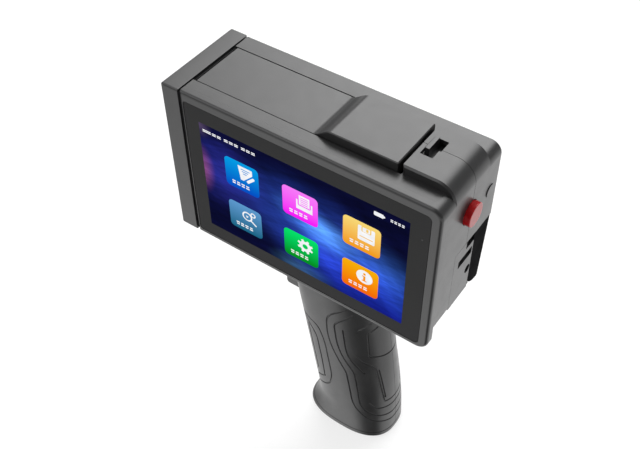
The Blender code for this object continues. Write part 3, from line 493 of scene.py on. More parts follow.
def battery_section(front, grow, round_front):
    """End view of the battery pack, grown or shrunk."""
    back = BATTERY_HIGH.y + grow
    low = BATTERY_LOW.z - grow
    high = BATTERY_HIGH.z + grow
    return rounded([
        (front - grow, low, round_front),
        (back - 3.0, low, 1.2),
        (back, high, 0.5),
        (front - grow, high, 0.5),
    ], 10)


FLANGE_FRONT = BATTERY_LOW.y
PACK_FRONT = FLANGE_FRONT + 2.1
FLANGE_LEFT = BATTERY_HIGH.x - 3.7
BATTERY_ROUND = 10.0


def bay_room(front, left):
    """Room for a stretch of the pack, open at the end, at the back and below."""
    outline = rectangle((front - GAP, BATTERY_LOW.z - GAP), (HEAD_BACK + REACH, BATTERY_HIGH.z + GAP),
                        (BATTERY_ROUND - (front - FLANGE_FRONT), 0, 0, 0.5), 10)
    return prism(outline, "X", left - GAP, HEAD_RIGHT + REACH)


def screw_hole(screw, skin_at, mouth):
    """A stepped hole for a screw from behind; its mouth is (radius, height over the skin) pairs."""
    profile = [(1.5, skin_at - REACH), (1.5, skin_at - 1.31), (2.8, skin_at - 1.3)]
    profile += [(radius, skin_at + height) for radius, height in mouth]
    return lathe(profile, middle(screw, "xz"), "Y", 32)


def rear_moulding():
    """The back of the head, with the battery bay in its lower corner."""
    shell = cut(head_solid(), *head_hollow())
    walls = box((BATTERY_LOW.x - GAP - 2.1, PANEL_HIGH.y + 0.1, SHELL_LOW.z + 0.5),
                (HEAD_RIGHT - 0.5, HEAD_BACK - 0.5, BATTERY_HIGH.z + GAP + 2.1))
    fuse(shell, walls)
    contacts = box((BATTERY_LOW.x - REACH, 13.9, 142.6), (BATTERY_LOW.x + 1, 19.1, 152.8))
    cut(shell, bay_room(PACK_FRONT, BATTERY_LOW.x), bay_room(FLANGE_FRONT, FLANGE_LEFT))
    cut(shell, contacts, *head_openings())
    plug_hole = rod(PLUG_CENTRE, PLUG_RADIUS + 0.06, "X", HEAD_RIGHT - REACH, HEAD_RIGHT + REACH, 40)
    ahead = box((SHELL_LOW.x - REACH, SHELL_LOW.y - REACH, SHELL_LOW.z - REACH),
                (HEAD_RIGHT + REACH, HAIRLINE, DECK_TOP + REACH))
    cut(shell, plug_hole, ahead)
    for screw in SHELL_SCREWS:
        cut(shell, screw_hole(screw, HEAD_BACK, ((2.8, -0.3), (3.2, 0.1))))
    piece(shell, "rear_moulding", SHELL, ["rear_shell"])


def printing_face():
    """The printing face, its neck towards the head, its window and the wheel's pocket."""
    left, right = PLATE_LOW.x, PLATE_LOW.x + 9.7
    neck_right = HEAD_LEFT - 0.15
    plate = box(PLATE_LOW, (right, PLATE_HIGH.y, PLATE_HIGH.z))
    bevel_where(plate, 1.0, 3, lambda at, way: at.x < right - 0.1 and (at.x < left + 0.1 or at.y < 0))
    bevel_where(plate, 0.25, 2, lambda at, way: at.x > right - 0.1)
    neck = box((right - 4, BEZEL_HIGH.y - 1.6, SHELL_LOW.z + 1.2),
               (neck_right, PLATE_HIGH.y - 1.2, STRIP_TOP - 1.6))
    lip = box((right - 4.1, PLATE_LOW.y + 1.2, BEZEL_LOW.z + 1.0),
              (neck_right - 0.05, BEZEL_HIGH.y - 1, STRIP_TOP - 1.7))
    cut(neck, box((neck_right - 0.1, LID_LOW.y - GAP, LID_FLOOR),
                  (neck_right + 1, LID_HIGH.y + GAP, STRIP_TOP)))
    fuse(plate, neck, lip)
    front, back, bottom, top = SNOUT_WINDOW
    window = box((left - REACH, front - 0.6, bottom - 0.6), (neck_right + REACH, back + 0.6, top + 0.6))
    relief = prism(rectangle((front - 3, bottom - 3), (back + 3, top + 3), (2, 2, 2, 2), 6),
                   "X", left - REACH, left + 1.2)
    bevel_where(relief, 0.8, 2, lambda at, way: at.x > left)
    pocket = box((left - REACH, TYRE_LOW.y - 0.5, TYRE_LOW.z - 0.9),
                 (TYRE_HIGH.x + 0.5, TYRE_HIGH.y + 0.5, TYRE_HIGH.z + 0.9))
    cut(plate, window, relief, pocket)
    piece(plate, "printing_face", SHELL, ["print_plate"])


def bezel():
    """The screen's frame, flush with the head at its top and its end."""
    front = BEZEL_LOW.y
    tray = prism(rectangle((HEAD_LEFT, BEZEL_LOW.z), (HEAD_RIGHT, STRIP_TOP), (0, 6.0, BODY_ROUND, 0), 14),
                 "Y", front, SHELL_LOW.y - 0.02)
    bevel_where(tray, 1.5, 4, lambda at, way: at.y < front + 0.01)
    recess = prism(glass_outline(0.22), "Y", front - REACH, GLASS_HIGH.y + 0.25)
    display = box((LCD_LOW.x - GAP, front, LCD_LOW.z - GAP),
                  (LCD_HIGH.x + GAP, BEZEL_HIGH.y - 0.6, LCD_HIGH.z + GAP))
    cut(tray, recess, display, ribbon_slot(front, BEZEL_HIGH.y + REACH))
    fuse(tray, bezel_fillet())
    piece(tray, "screen_bezel", SHELL, ["bezel_frame"])


# Screen

def glass_outline(grow):
    """Front view of the cover glass, grown or shrunk."""
    return rectangle((GLASS_LOW.x - grow, GLASS_LOW.z - grow), (GLASS_HIGH.x + grow, GLASS_HIGH.z + grow),
                     (1.6 + grow, 2.2 + grow, 2.2 + grow, 1.6 + grow), 10)


GLASS_FRONT = GLASS_LOW.y + 0.05


def cover_glass():
    """The black-printed cover glass, and the light sensor's dot at its right."""
    slab = prism(glass_outline(0.0), "Y", GLASS_FRONT, GLASS_HIGH.y)
    bevel_where(slab, 0.18, 2, lambda at, way: at.y < GLASS_FRONT + 0.01)
    piece(slab, "cover_glass", GLASS, ["touch_glass"])
    dot = lathe([(0.4, GLASS_FRONT - 0.03), (0.4, GLASS_FRONT + 0.02)], (PICTURE_RIGHT + 5.8, 187.1),
                "Y", 24)
    piece(dot, "light_sensor", INSIDE)


# The picture on the display, in x and z; each layer stands a hair in front of the last
PICTURE_LEFT = -70.3
PICTURE_RIGHT = 37.7
PICTURE_BOTTOM = 129.1
PICTURE_TOP = 193.3
LAYER = 0.03
TILE = (18.8, 17.3)
TILE_ROUND = 2.2
TILE_ROWS = (172.0, 145.1)
TILE_COLUMNS = (-47.9, -16.15, 15.5)


def linear(red, green, blue):
    """The light that a screen colour of 0 to 255 stands for."""
    parts = []
    for value in (red, green, blue):
        share = value / 255
        parts.append(share / 12.92 if share <= 0.04045 else ((share + 0.055) / 1.055) ** 2.4)
    return tuple(parts)


def flat(outline, layer):
    """A very thin solid with an (x, z) outline, on one of the picture's layers."""
    return prism(outline, "Y", GLASS_FRONT - LAYER * (layer + 1), GLASS_FRONT - LAYER * layer + 0.02)


def flat_box(x, z, wide, tall, layer, radius=0.0):
    """A thin rectangle about a middle."""
    low, high = (x - wide / 2, z - tall / 2), (x + wide / 2, z + tall / 2)
    return flat(rectangle(low, high, (radius,) * 4, 5), layer)


def flat_disc(x, z, radius, layer):
    """A thin disc."""
    return flat(circle((x, z), radius, 40), layer)


def flat_line(start, end, wide, layer):
    """A thin bar between two points."""
    way = Vector((end[0] - start[0], end[1] - start[1])).normalized()
    side = Vector((-way.y, way.x)) * wide / 2
    ends = [Vector(start) + side, Vector(start) - side, Vector(end) - side, Vector(end) + side]
    return flat(rounded([(at.x, at.y, wide * 0.35) for at in ends], 3), layer)


def joined(parts):
    """Several meshes as one object; they stay separate shells."""
    work = bmesh.new()
    for part in parts:
        work.from_mesh(part.data)
        bpy.data.objects.remove(part, do_unlink=True)
    return finished(work)


def lit(name, colour_of):
    """A display material that only gives off light, in the colour that colour_of(tree) returns."""
    made, tree, shader = shader_of(name)
    feed(tree, shader, in_Base_Color=(0.002, 0.002, 0.002, 1), in_Specular_IOR_Level=0.0,
         in_Roughness=0.6, in_Emission_Strength=1.0, in_Emission_Color=colour_of(tree))
    return made


def tile_look(name, z, top, bottom):
    """A tile's colour, running from its top to its foot."""
    def fade(tree):
        height = add(tree, "ShaderNodeSeparateXYZ", in_0=place_in(tree)).outputs["Z"]
        share = ramp(tree, height, (z - TILE[1] / 2) * MM, (z + TILE[1] / 2) * MM, 0.0, 1.0)
        return mottle(tree, share, linear(*bottom), linear(*top), (0, 1))

    return lit(name, fade)


def turned_place(tree, turn, scale, centre=(0, 0, 0)):
    """The object's coordinates, turned about Y and scaled, as seen from a centre."""
    return add(tree, "ShaderNodeMapping", vector_type="TEXTURE", in_Vector=place_in(tree),
               in_Location=centre, in_Rotation=(0, math.radians(turn), 0), in_Scale=scale).outputs[0]


def glow(tree, before, x, z, reach_x, reach_z, turn, colour):
    """Add a soft oval of light to a colour."""
    place = turned_place(tree, turn, (reach_x * MM, 1.0, reach_z * MM), (x * MM, 0, z * MM))
    squashed = add(tree, "ShaderNodeVectorMath", operation="MULTIPLY", in_0=place, in_1=(1, 0, 1))
    far = add(tree, "ShaderNodeVectorMath", operation="LENGTH", in_0=squashed.outputs["Vector"])
    share = ramp(tree, far.outputs["Value"], 1.0, 0.0, 0.0, 1.0, "SMOOTHSTEP")
    return add(tree, "ShaderNodeMix", data_type="RGBA", blend_type="ADD", in_0=share, in_6=before,
               in_7=(*linear(*colour), 1)).outputs[2]


def streaks(tree, before, turn, scale, strength):
    """Brighten and darken a colour along slanting bands."""
    bands = add(tree, "ShaderNodeTexNoise", in_Scale=1.0, in_Detail=3.0, in_Roughness=0.65,
                in_Vector=turned_place(tree, turn, (1 / scale, 1.0, 0.12)))
    factor = ramp(tree, bands.outputs["Fac"], 0.3, 0.7, 1.0 - strength, 1.0 + strength)
    return add(tree, "ShaderNodeVectorMath", operation="SCALE", in_0=before, in_Scale=factor).outputs[0]


# Ovals of light on the wallpaper: x, z, reach in x, reach in z, turn in degrees, colour
GLOWS = (
    (-6, 158, 58, 33, 14, (38, 66, 165)),
    (-6, 163, 30, 13, 16, (62, 118, 185)),
    (-16, 131, 22, 9, 0, (45, 80, 110)),
    (14, 140, 52, 24, 10, (14, 28, 150)),
    (31, 150, 30, 20, 30, (30, 62, 140)),
    (24, 160, 30, 17, 8, (22, 50, 85)),
    (-2, 163, 17, 10, 10, (60, 100, 140)),
    (-58, 168, 30, 28, 0, (34, 38, 125)),
    (-71, 166, 8, 17, 0, (125, 62, 62)),
    (-71, 193, 9, 10, 0, (75, 62, 80)),
)
STREAKS = ((76, 190.0, 0.3), (98, 320.0, 0.24), (-34, 80.0, 0.24))     # turn, scale, strength


def wallpaper_colour(tree):
    """The picture behind the tiles: deep blue with a bright middle and a warm left edge."""
    base = add(tree, "ShaderNodeRGB")
    base.outputs[0].default_value = (*linear(5, 7, 45), 1)
    light = base.outputs[0]
    for values in GLOWS:
        light = glow(tree, light, *values)
    for values in STREAKS:
        light = streaks(tree, light, *values)
    return light


def sign_colour(tree):
    """The white of the signs."""
    return mottle(tree, noise(tree, 400.0), linear(236, 238, 242), linear(250, 250, 252))


def note_glyph(x, z):
    """A note pad with a pencil: white parts, then the marks on them."""
    pad = flat([(x - 4.2, z + 4.3), (x + 3.7, z + 4.3), (x + 3.7, z + 1.3),
                (x - 1.4, z - 3.9), (x - 3.0, z - 3.9)], 2)
    pencil = flat_line((x + 0.6, z - 4.0), (x + 4.6, z - 0.1), 1.5, 2)
    marks = []
    for row in range(3):
        height = z + 2.7 - 1.2 * row
        marks.append(flat_line((x - 2.6 + 0.5 * row, height), (x + 2.4 - 0.9 * row, height), 0.45, 3))
    return [pad, pencil], marks


def printer_glyph(x, z):
    """A sheet over a tray."""
    sheet = flat_box(x, z + 1.5, 5.6, 5.6, 2)
    tray = [flat_box(x, z - 2.9, 8.6, 2.7, 2)]
    tray += [flat_box(x + side, z - 0.4, 0.8, 3.4, 2) for side in (-3.9, 3.9)]
    marks = [flat_box(x, z + 3.0 - 1.15 * row, 3.9, 0.45, 3) for row in range(4)]
    marks.append(flat_box(x, z - 1.75, 6.4, 0.4, 3))
    return [sheet, *tray], marks


def disk_glyph(x, z):
    """A floppy disk."""
    body = flat_box(x, z, 8.4, 8.6, 2, 0.6)
    marks = [flat_box(x, z + 2.9, 4.9, 3.4, 3, 0.7), flat_box(x, z - 1.9, 6.6, 0.45, 3)]
    shutter = flat_box(x, z + 2.75, 3.7, 2.5, 4, 0.4)
    window = flat_box(x + 0.5, z + 2.8, 1.1, 1.7, 5, 0.2)
    return [body, shutter], [marks[0], marks[1], window]


def tool_glyph(x, z):
    """A lens with a handle and a small ring beside it."""
    white = [flat_disc(x - 1.2, z + 0.1, 2.9, 2), flat_line((x + 0.2, z - 1.2), (x + 3.9, z - 3.9), 0.9, 2),
             flat_disc(x + 2.3, z + 2.6, 1.5, 2)]
    marks = [flat_disc(x - 1.2, z + 0.1, 2.1, 3), flat_disc(x + 2.3, z + 2.6, 0.85, 3)]
    centre = flat([(x - 1.9, z + 0.7), (x - 0.4, z + 0.4), (x - 1.4, z - 0.9)], 4)
    return [*white, centre], marks


def gear_glyph(x, z):
    """A gear wheel with eight teeth."""
    outline = []
    for tooth in range(8):
        for offset, radius in ((-13, 3.2), (-8, 4.3), (8, 4.3), (13, 3.2)):
            outline.append(polar((x, z), radius, math.radians(45 * tooth + 22.5 + offset)))
    return [flat(outline, 2)], [flat_disc(x, z, 1.45, 3)]


def notice_glyph(x, z):
    """A disc with a dot over a bar."""
    marks = [flat_disc(x, z + 2.0, 0.7, 3), flat_box(x, z - 0.9, 1.1, 3.2, 3)]
    marks += [flat_box(x, z - 2.4, 2.5, 0.6, 3), flat_box(x - 0.5, z + 0.45, 1.3, 0.55, 3)]
    return [flat_disc(x, z, 4.2, 2)], marks


def caption(x, z):
    """Four small blocks of two bars, in place of a caption."""
    bars = []
    for index in range(4):
        place = x - 3.9 + 2.6 * index
        for row, wide in ((0.62, 1.9 - 0.25 * (index % 2)), (-0.62, 1.65 + 0.25 * (index % 2))):
            bars.append(flat_box(place, z + row, wide, 0.72, 2, 0.15))
    return bars


def status_line():
    """Bars in place of the date and the time, and the battery's sign."""
    z = 189.6
    white = []
    x = PICTURE_LEFT + 1.9
    for wide in (4.6, 2.1, 2.1, 0, 2.1, 2.1, 2.1, 0, 2.0, 2.0, 2.0):
        if not wide:
            x += 1.1
            continue
        for row in (0.42, -0.42):
            white.append(flat_box(x + wide / 2, z + row, wide, 0.5, 2, 0.12))
        x += wide + 0.7
    white.append(flat_box(23.2, z, 4.6, 2.2, 2, 0.5))
    white.append(flat_box(25.8, z, 0.7, 1.0, 2, 0.2))
    for index in range(4):
        for row in (0.42, -0.42):
            white.append(flat_box(29.4 + 1.75 * index, z + row, 1.2, 0.5, 2, 0.12))
    return white


TILES = (
    ("note", 0, 0, note_glyph, (0, 156, 228), (0, 74, 194)),
    ("printer", 1, 0, printer_glyph, (246, 122, 248), (246, 0, 246)),
    ("disk", 2, 0, disk_glyph, (247, 216, 118), (242, 152, 8)),
    ("tool", 0, 1, tool_glyph, (92, 152, 205), (20, 98, 130)),
    ("gear", 1, 1, gear_glyph, (0, 226, 106), (0, 136, 20)),
    ("notice", 2, 1, notice_glyph, (247, 176, 2), (245, 100, 4)),
)


def picture():
    """What the display shows: a wallpaper, six tiles with their signs, and a status line."""
    wallpaper = flat(rectangle((PICTURE_LEFT, PICTURE_BOTTOM), (PICTURE_RIGHT, PICTURE_TOP)), 0)
    look = lit("display_wallpaper", wallpaper_colour)
    piece(wallpaper, "display_wallpaper", look, ["lcd_panel"])
    white = status_line()
    for name, column, row, sign, top, bottom in TILES:
        x, z = TILE_COLUMNS[column], TILE_ROWS[row]
        light, marks = sign(x + 2.3, z + 2.2)
        white += light + caption(x - 1.0, z - 5.2)
        tile = joined([flat_box(x, z, *TILE, 1, TILE_ROUND), *marks])
        piece(tile, "tile_" + name, tile_look("tile_" + name, z, top, bottom))
    piece(joined(white), "display_signs", lit("display_white", sign_colour))


# Lid and latch

RAMP_LEFT = -16.3
RAMP_RIGHT = -7.0
LID_THICK = 2.0


def weigh_edges(obj, weight):
    """Set each sharp edge's share of the bevel from weight(middle, direction)."""
    layer = obj.data.attributes.new("bevel_weight_edge", "FLOAT", "EDGE")
    work = bmesh.new()
    work.from_mesh(obj.data)
    values = []
    for edge in work.edges:
        ends = [vert.co / MM for vert in edge.verts]
        sharp = len(edge.link_faces) == 2 and edge.calc_face_angle(0.0) > math.radians(25)
        values.append(weight((ends[0] + ends[1]) / 2, (ends[1] - ends[0]).normalized()) if sharp else 0.0)
    work.free()
    layer.data.foreach_set("value", values)


def lid():
    """The lid over the cartridge: flush at its hinge, then a soft ramp to its raised end."""
    ramp_points = []
    for step in range(19):
        share = step / 18
        drop = (1 - math.cos(math.pi * share)) / 2
        ramp_points.append((RAMP_RIGHT + (RAMP_LEFT - RAMP_RIGHT) * share,
                            DECK_TOP + (STRIP_TOP - DECK_TOP) * drop))
    low = STRIP_TOP - LID_THICK
    left = LID_LOW.x + 0.3
    profile = [(left, low), (LID_HIGH.x, low), (LID_HIGH.x, DECK_TOP), *ramp_points, (left, STRIP_TOP)]
    made = prism(profile, "Y", LID_LOW.y, LID_HIGH.y)

    def weight(at, way):
        raised = min(1.0, max(0.0, (at.x - RAMP_LEFT) / (RAMP_RIGHT - RAMP_LEFT)))
        if at.z < low + 0.1:
            return 0.0
        if abs(way.z) > 0.9:
            return 0.6 if at.x > 0 else 0.2
        return 0.25 + 0.75 * raised

    weigh_edges(made, weight)
    modifier = made.modifiers.new("bevel", "BEVEL")
    modifier.width = 0.85 * MM
    modifier.segments = 1
    modifier.limit_method = "WEIGHT"
    apply_modifiers(made)
    wall = 1.8
    hollow = box((RAMP_RIGHT + 2, LID_LOW.y + wall, STRIP_TOP - REACH),
                 (LID_HIGH.x - wall, LID_HIGH.y - wall, DECK_TOP - wall))
    cut(made, hollow)
    for front in (LID_LOW.y + 0.7, LID_HIGH.y - 0.7 - 6.0):
        lug = box((HINGE[0] - 2.1, front, HINGE[1] - 2.2), (HINGE[0] + 2.1, front + 6.0, STRIP_TOP - 0.5))
        fuse(made, bevel_where(lug, 0.7, 3, lambda at, way: abs(way.y) > 0.9 and at.z < HINGE[1]))
    bore = rod(HINGE, PIN_BORE, "Y", LID_LOW.y - REACH, LID_HIGH.y + REACH, 24)
    catch = box((LID_HIGH.x - REACH, -5.0, 205.3), (LID_HIGH.x + REACH, 5.0, DECK_TOP - 2.0))
    cut(made, bore, catch)
    piece(made, "lid_moulding", SHELL, ["cartridge_lid"], "lid")


def latch():
    """The slider that holds the lid: a tongue under the hump's left wall and a thumb bar."""
    roof = DECK_TOP - WALL
    slider = box((28.8, -6.9, 205.9), (36.0, 8.0, roof - GAP))
    for low, high in ((-9.0, -5.0), (5.0, 10.0)):
        cut(slider, box((HUMP_LEFT, low, 200.0), (HUMP_LEFT + WALL + GAP, high, roof + REACH)))
    cut(slider, box((LATCH_BAR_HIGH[0], -6.5, roof - 1.8), (35.7, 7.0, roof + REACH)),
        box((LATCH_BAR_LOW[0] - REACH, -6.5, roof - 1.8),
            (LATCH_BAR_HIGH[0] + REACH, LATCH_BAR_LOW[1], roof + REACH)))
    tongue = box((LATCH_LOW.x, -4.6, 206.0), (HUMP_LEFT + 3, 4.6, roof - 1.9))
    bevel_where(tongue, 0.6, 2, lambda at, way: at.x < LATCH_LOW.x + 0.1 and abs(way.y) > 0.9)
    bar = box((*LATCH_BAR_LOW, roof - 2), (*LATCH_BAR_HIGH, LATCH_HIGH.z + 0.5))
    bevel_where(bar, 0.3, 2, lambda at, way: at.z > roof)
    fuse(slider, tongue, bar)
    piece(slider, "lid_slider", SHELL, ["lid_latch"], "latch")


# Power button, plug and ports

def button():
    """The red power button, with a flat face."""
    inner = HEAD_RIGHT - WALL - GAP
    top = corners("power_button")[1].x
    soft = 0.4
    profile = [(BUTTON_RADIUS + 1.2, inner - 2.0), (BUTTON_RADIUS + 1.2, inner), (BUTTON_RADIUS, inner),
               (BUTTON_RADIUS, top - soft), *quarter((BUTTON_RADIUS - soft, top - soft), (soft, soft), 5),
               (0.3, top)]
    cap = lathe(profile, BUTTON_CENTRE, "X", 72)
    piece(cap, "button_cap", RED, ["power_button"], "button")


def plug():
    """The small round plug beside the button, a little proud of the wall."""
    top = PLUG_HIGH.x - 0.2
    profile = [(PLUG_RADIUS, PLUG_LOW.x), (PLUG_RADIUS, top - 0.12), (PLUG_RADIUS - 0.12, top), (0.2, top)]
    piece(lathe(profile, PLUG_CENTRE, "X", 40), "round_plug", SHELL, ["end_plug"])


def usb_opening(grow, radius):
    """The outline of the memory-stick socket's mouth, grown."""
    y, z = USB_CENTRE
    wide, tall = USB_HOLE[0] / 2 + grow, USB_HOLE[1] / 2 + grow
    return rectangle((y - wide, z - tall), (y + wide, z + tall), (radius,) * 4, 4)


def ports_panel():
    """The insert in the end wall round the two sockets, with the notch of the battery's catch."""
    left = PANEL_LOW.x
    panel = box((left, PANEL_LOW.y, PANEL_LOW.z), (HEAD_RIGHT - 0.03, PANEL_HIGH.y, PANEL_HIGH.z))
    usb = prism(usb_opening(0.0, 0.5), "X", left - REACH, HEAD_RIGHT + REACH)
    jack = lathe([(JACK_RADIUS, left - REACH), (JACK_RADIUS, HEAD_RIGHT - 0.2),
                  (JACK_RADIUS + 0.2, HEAD_RIGHT + 0.01)], JACK_CENTRE, "X", 40)
    notch = box((left - REACH, 1.0, 161.6), (HEAD_RIGHT + REACH, PANEL_HIGH.y + REACH, PANEL_HIGH.z + REACH))
    cut(panel, usb, jack, notch)
    piece(panel, "ports_panel", SHELL, ["port_panel"])


def usb_socket():
    """The metal socket with rolled corners, and its pale tongue with four contacts."""
    y, z = USB_CENTRE
    roof = z + USB_HOLE[1] / 2
    left, right = USB_LOW.x, USB_HIGH.x
    can = prism(usb_opening(0.3, 0.8), "X", left, right)
    cut(can, prism(usb_opening(0.0, 0.5), "X", left + 1.1, right + REACH))
    for side in (-2.6, 2.6):
        cut(can, box((right - 5.5, y + side - 0.9, roof - 0.05), (right - 2.5, y + side + 0.9, roof + 1)))
    piece(can, "usb_can", STEEL, ["usb_port"])
    tongue = box((left + 1.0, y - 4.6, z - 0.2), (right - 1.6, y + 4.6, z + 1.6))
    bevel_where(tongue, 0.3, 2, lambda at, way: at.x > right - 1.7)
    piece(tongue, "usb_tongue", TONGUE)
    contacts = [box((right - 8.0, y + offset - 0.5, z - 0.28), (right - 2.6, y + offset + 0.5, z - 0.15))
                for offset in (-3.3, -1.1, 1.1, 3.3)]
    piece(joined(contacts), "usb_contacts", GOLD)


def jack_socket():
    """The charging socket: a black block with a round bore and a bright pin."""
    y, z = JACK_CENTRE
    left, right = JACK_LOW.x, JACK_HIGH.x
    block = box((left, y - 3.0, z - 3.6), (right, y + 2.4, z + 3.6))
    cut(block, rod(JACK_CENTRE, JACK_RADIUS - 0.05, "X", left + 2.1, right + REACH, 40))
    piece(block, "jack_block", INSIDE, ["dc_jack"])
    pin = lathe([(0.8, left + 1.6), (0.8, right - 0.9), (0.35, right - 0.45)], JACK_CENTRE, "X", 24)
    piece(pin, "jack_pin", STEEL)


# Battery

def battery():
    """The battery pack: a thumb flange at the end, and a body that slides into its bay."""
    flange = prism(battery_section(FLANGE_FRONT, 0.0, BATTERY_ROUND), "X", FLANGE_LEFT, BATTERY_HIGH.x)
    bevel_where(flange, 0.3, 2, lambda at, way: at.x > BATTERY_HIGH.x - 0.1 or at.x < FLANGE_LEFT + 0.1)
    inner = battery_section(PACK_FRONT + 0.4, -0.4, BATTERY_ROUND - 3.6)
    body = prism(inner, "X", BATTERY_LOW.x, BATTERY_HIGH.x - 1)
    bevel_where(body, 0.6, 2, lambda at, way: at.x < BATTERY_LOW.x + 0.1)
    fuse(flange, body)
    for index in range(4):
        x = BATTERY_HIGH.x - 6.2 - 1.9 * index
        cut(flange, box((x - 0.45, BATTERY_HIGH.y - 0.75, BATTERY_LOW.z + 9),
                        (x + 0.45, BATTERY_HIGH.y + REACH, BATTERY_HIGH.z - 6)))
    piece(flange, "battery_case", MATTE, ["battery_pack"], "battery")


def battery_catch():
    """The thumb slide that holds the pack, with a ridge to push on."""
    front, bottom, top = CATCH_LOW.y, CATCH_LOW.z, CATCH_HIGH.z
    tab = box(CATCH_LOW, (HEAD_RIGHT - 0.9, CATCH_HIGH.y, top))
    bevel_where(tab, 0.25, 2, lambda at, way: at.x > HEAD_RIGHT - 1.0)
    ridge = box((HEAD_RIGHT - 2.0, front + 1.3, bottom + 0.2), (HEAD_RIGHT - 0.3, front + 2.1, top - 0.2))
    bevel_where(ridge, 0.2, 2, lambda at, way: at.x > HEAD_RIGHT - 0.4)
    fuse(tab, ridge)
    piece(tab, "battery_catch", MATTE, ["battery_latch"], "battery_slide_latch")


# Grip

GRIP_WIDE = 18.2
FRONT_POWER = 2.55
REAR_POWERS = (2.55, 1.95)
REAR_ROUND_FROM = 60.0
GRIP_SIDES = 112
HALF_SEAM = 0.08     # half the width of the parting line between the grip's halves
CAP_TOP = 3.5


def grip_section(z, shrink=0.0, sides=GRIP_SIDES):
    """One horizontal section of the grip, as (x, y) points from its rear seam round by the far side."""
    toe = max(0.0, 1.0 - z / 19.0)
    front = -16.1 - 0.18 * z - 10.1 * toe ** 1.4 + shrink
    rear = 26.7 - 0.046 * z - 0.00072 * z * z - shrink
    wide = GRIP_WIDE - shrink
    centre = (front + rear) / 2
    half = (rear - front) / 2
    rise = min(1.0, max(0.0, z) / REAR_ROUND_FROM)
    rear_power = REAR_POWERS[0] + (REAR_POWERS[1] - REAR_POWERS[0]) * rise
    ring = []
    for step in range(sides):
        angle = 2 * math.pi * step / sides
        cosine, sine = math.cos(angle), math.sin(angle)
        power = 2 / (rear_power if cosine > 0 else FRONT_POWER)
        ring.append((centre + half * math.copysign(abs(cosine) ** power, cosine),
                     wide * math.copysign(abs(sine) ** power, sine)))
    return ring


def loft(sections):
    """A closed solid through stacked sections: (height, ring) pairs."""
    return skinned([[Vector((x, y, z)) * MM for x, y in ring] for z, ring in sections])


def skin(u, z):
    """Point and outward normal on the grip's skin, u millimetres round from the rear seam."""
    ring = grip_section(z, sides=720)
    ring = [Vector(point) for point in ring[:361]]
    walked = 0.0
    for before, after in zip(ring, ring[1:]):
        step = (after - before).length
        if walked + step >= abs(u):
            at = before.lerp(after, (abs(u) - walked) / step)
            way = (after - before).normalized()
            out = Vector((way.y, -way.x))
            side = -1.0 if u >= 0 else 1.0
            return Vector((at.x, at.y * side, z)), Vector((out.x, out.y * side, 0))
        walked += step
    return Vector((ring[-1].x, 0, z)), Vector((-1, 0, 0))


def smooth_run(knots, spacing=0.7):
    """Points along a run of (u, z, trim) knots; a corner's curve starts its trim away from it."""
    points = [Vector(knots[0][:2])]
    for index in range(1, len(knots) - 1):
        here = Vector(knots[index][:2])
        trim = knots[index][2]
        back = Vector(knots[index - 1][:2]) - here
        ahead = Vector(knots[index + 1][:2]) - here
        trim = min(trim, back.length * 0.49, ahead.length * 0.49)
        start, end = here + back.normalized() * trim, here + ahead.normalized() * trim
        for step in range(9):
            share = step / 8
            points.append(start.lerp(here, share).lerp(here.lerp(end, share), share))
    points.append(Vector(knots[-1][:2]))
    run = [points[0]]
    for before, after in zip(points, points[1:]):
        count = max(1, round((after - before).length / spacing))
        run += [before.lerp(after, step / count) for step in range(1, count + 1)]
    return [point for index, point in enumerate(run) if index == 0 or (point - run[index - 1]).length > 1e-4]


# Across a groove: (sideways, outwards)
GROOVE_SECTION = ((-0.95, 0.55), (-0.5, 0.0), (-0.26, -0.42), (0.0, -0.5), (0.26, -0.42), (0.5, 0.0),
                  (0.95, 0.55))


def groove(knots):
    """The solid that cuts one groove into the grip's skin."""
    run = [skin(*point) for point in smooth_run(knots)]
    rings = []
    for index, (at, out) in enumerate(run):
        ahead = run[min(index + 1, len(run) - 1)][0] - run[max(index - 1, 0)][0]
        side = ahead.cross(out).normalized()
        up = side.cross(ahead).normalized()
        rings.append([(at + side * across + up * height) * MM for across, height in GROOVE_SECTION])
    return skinned(rings)


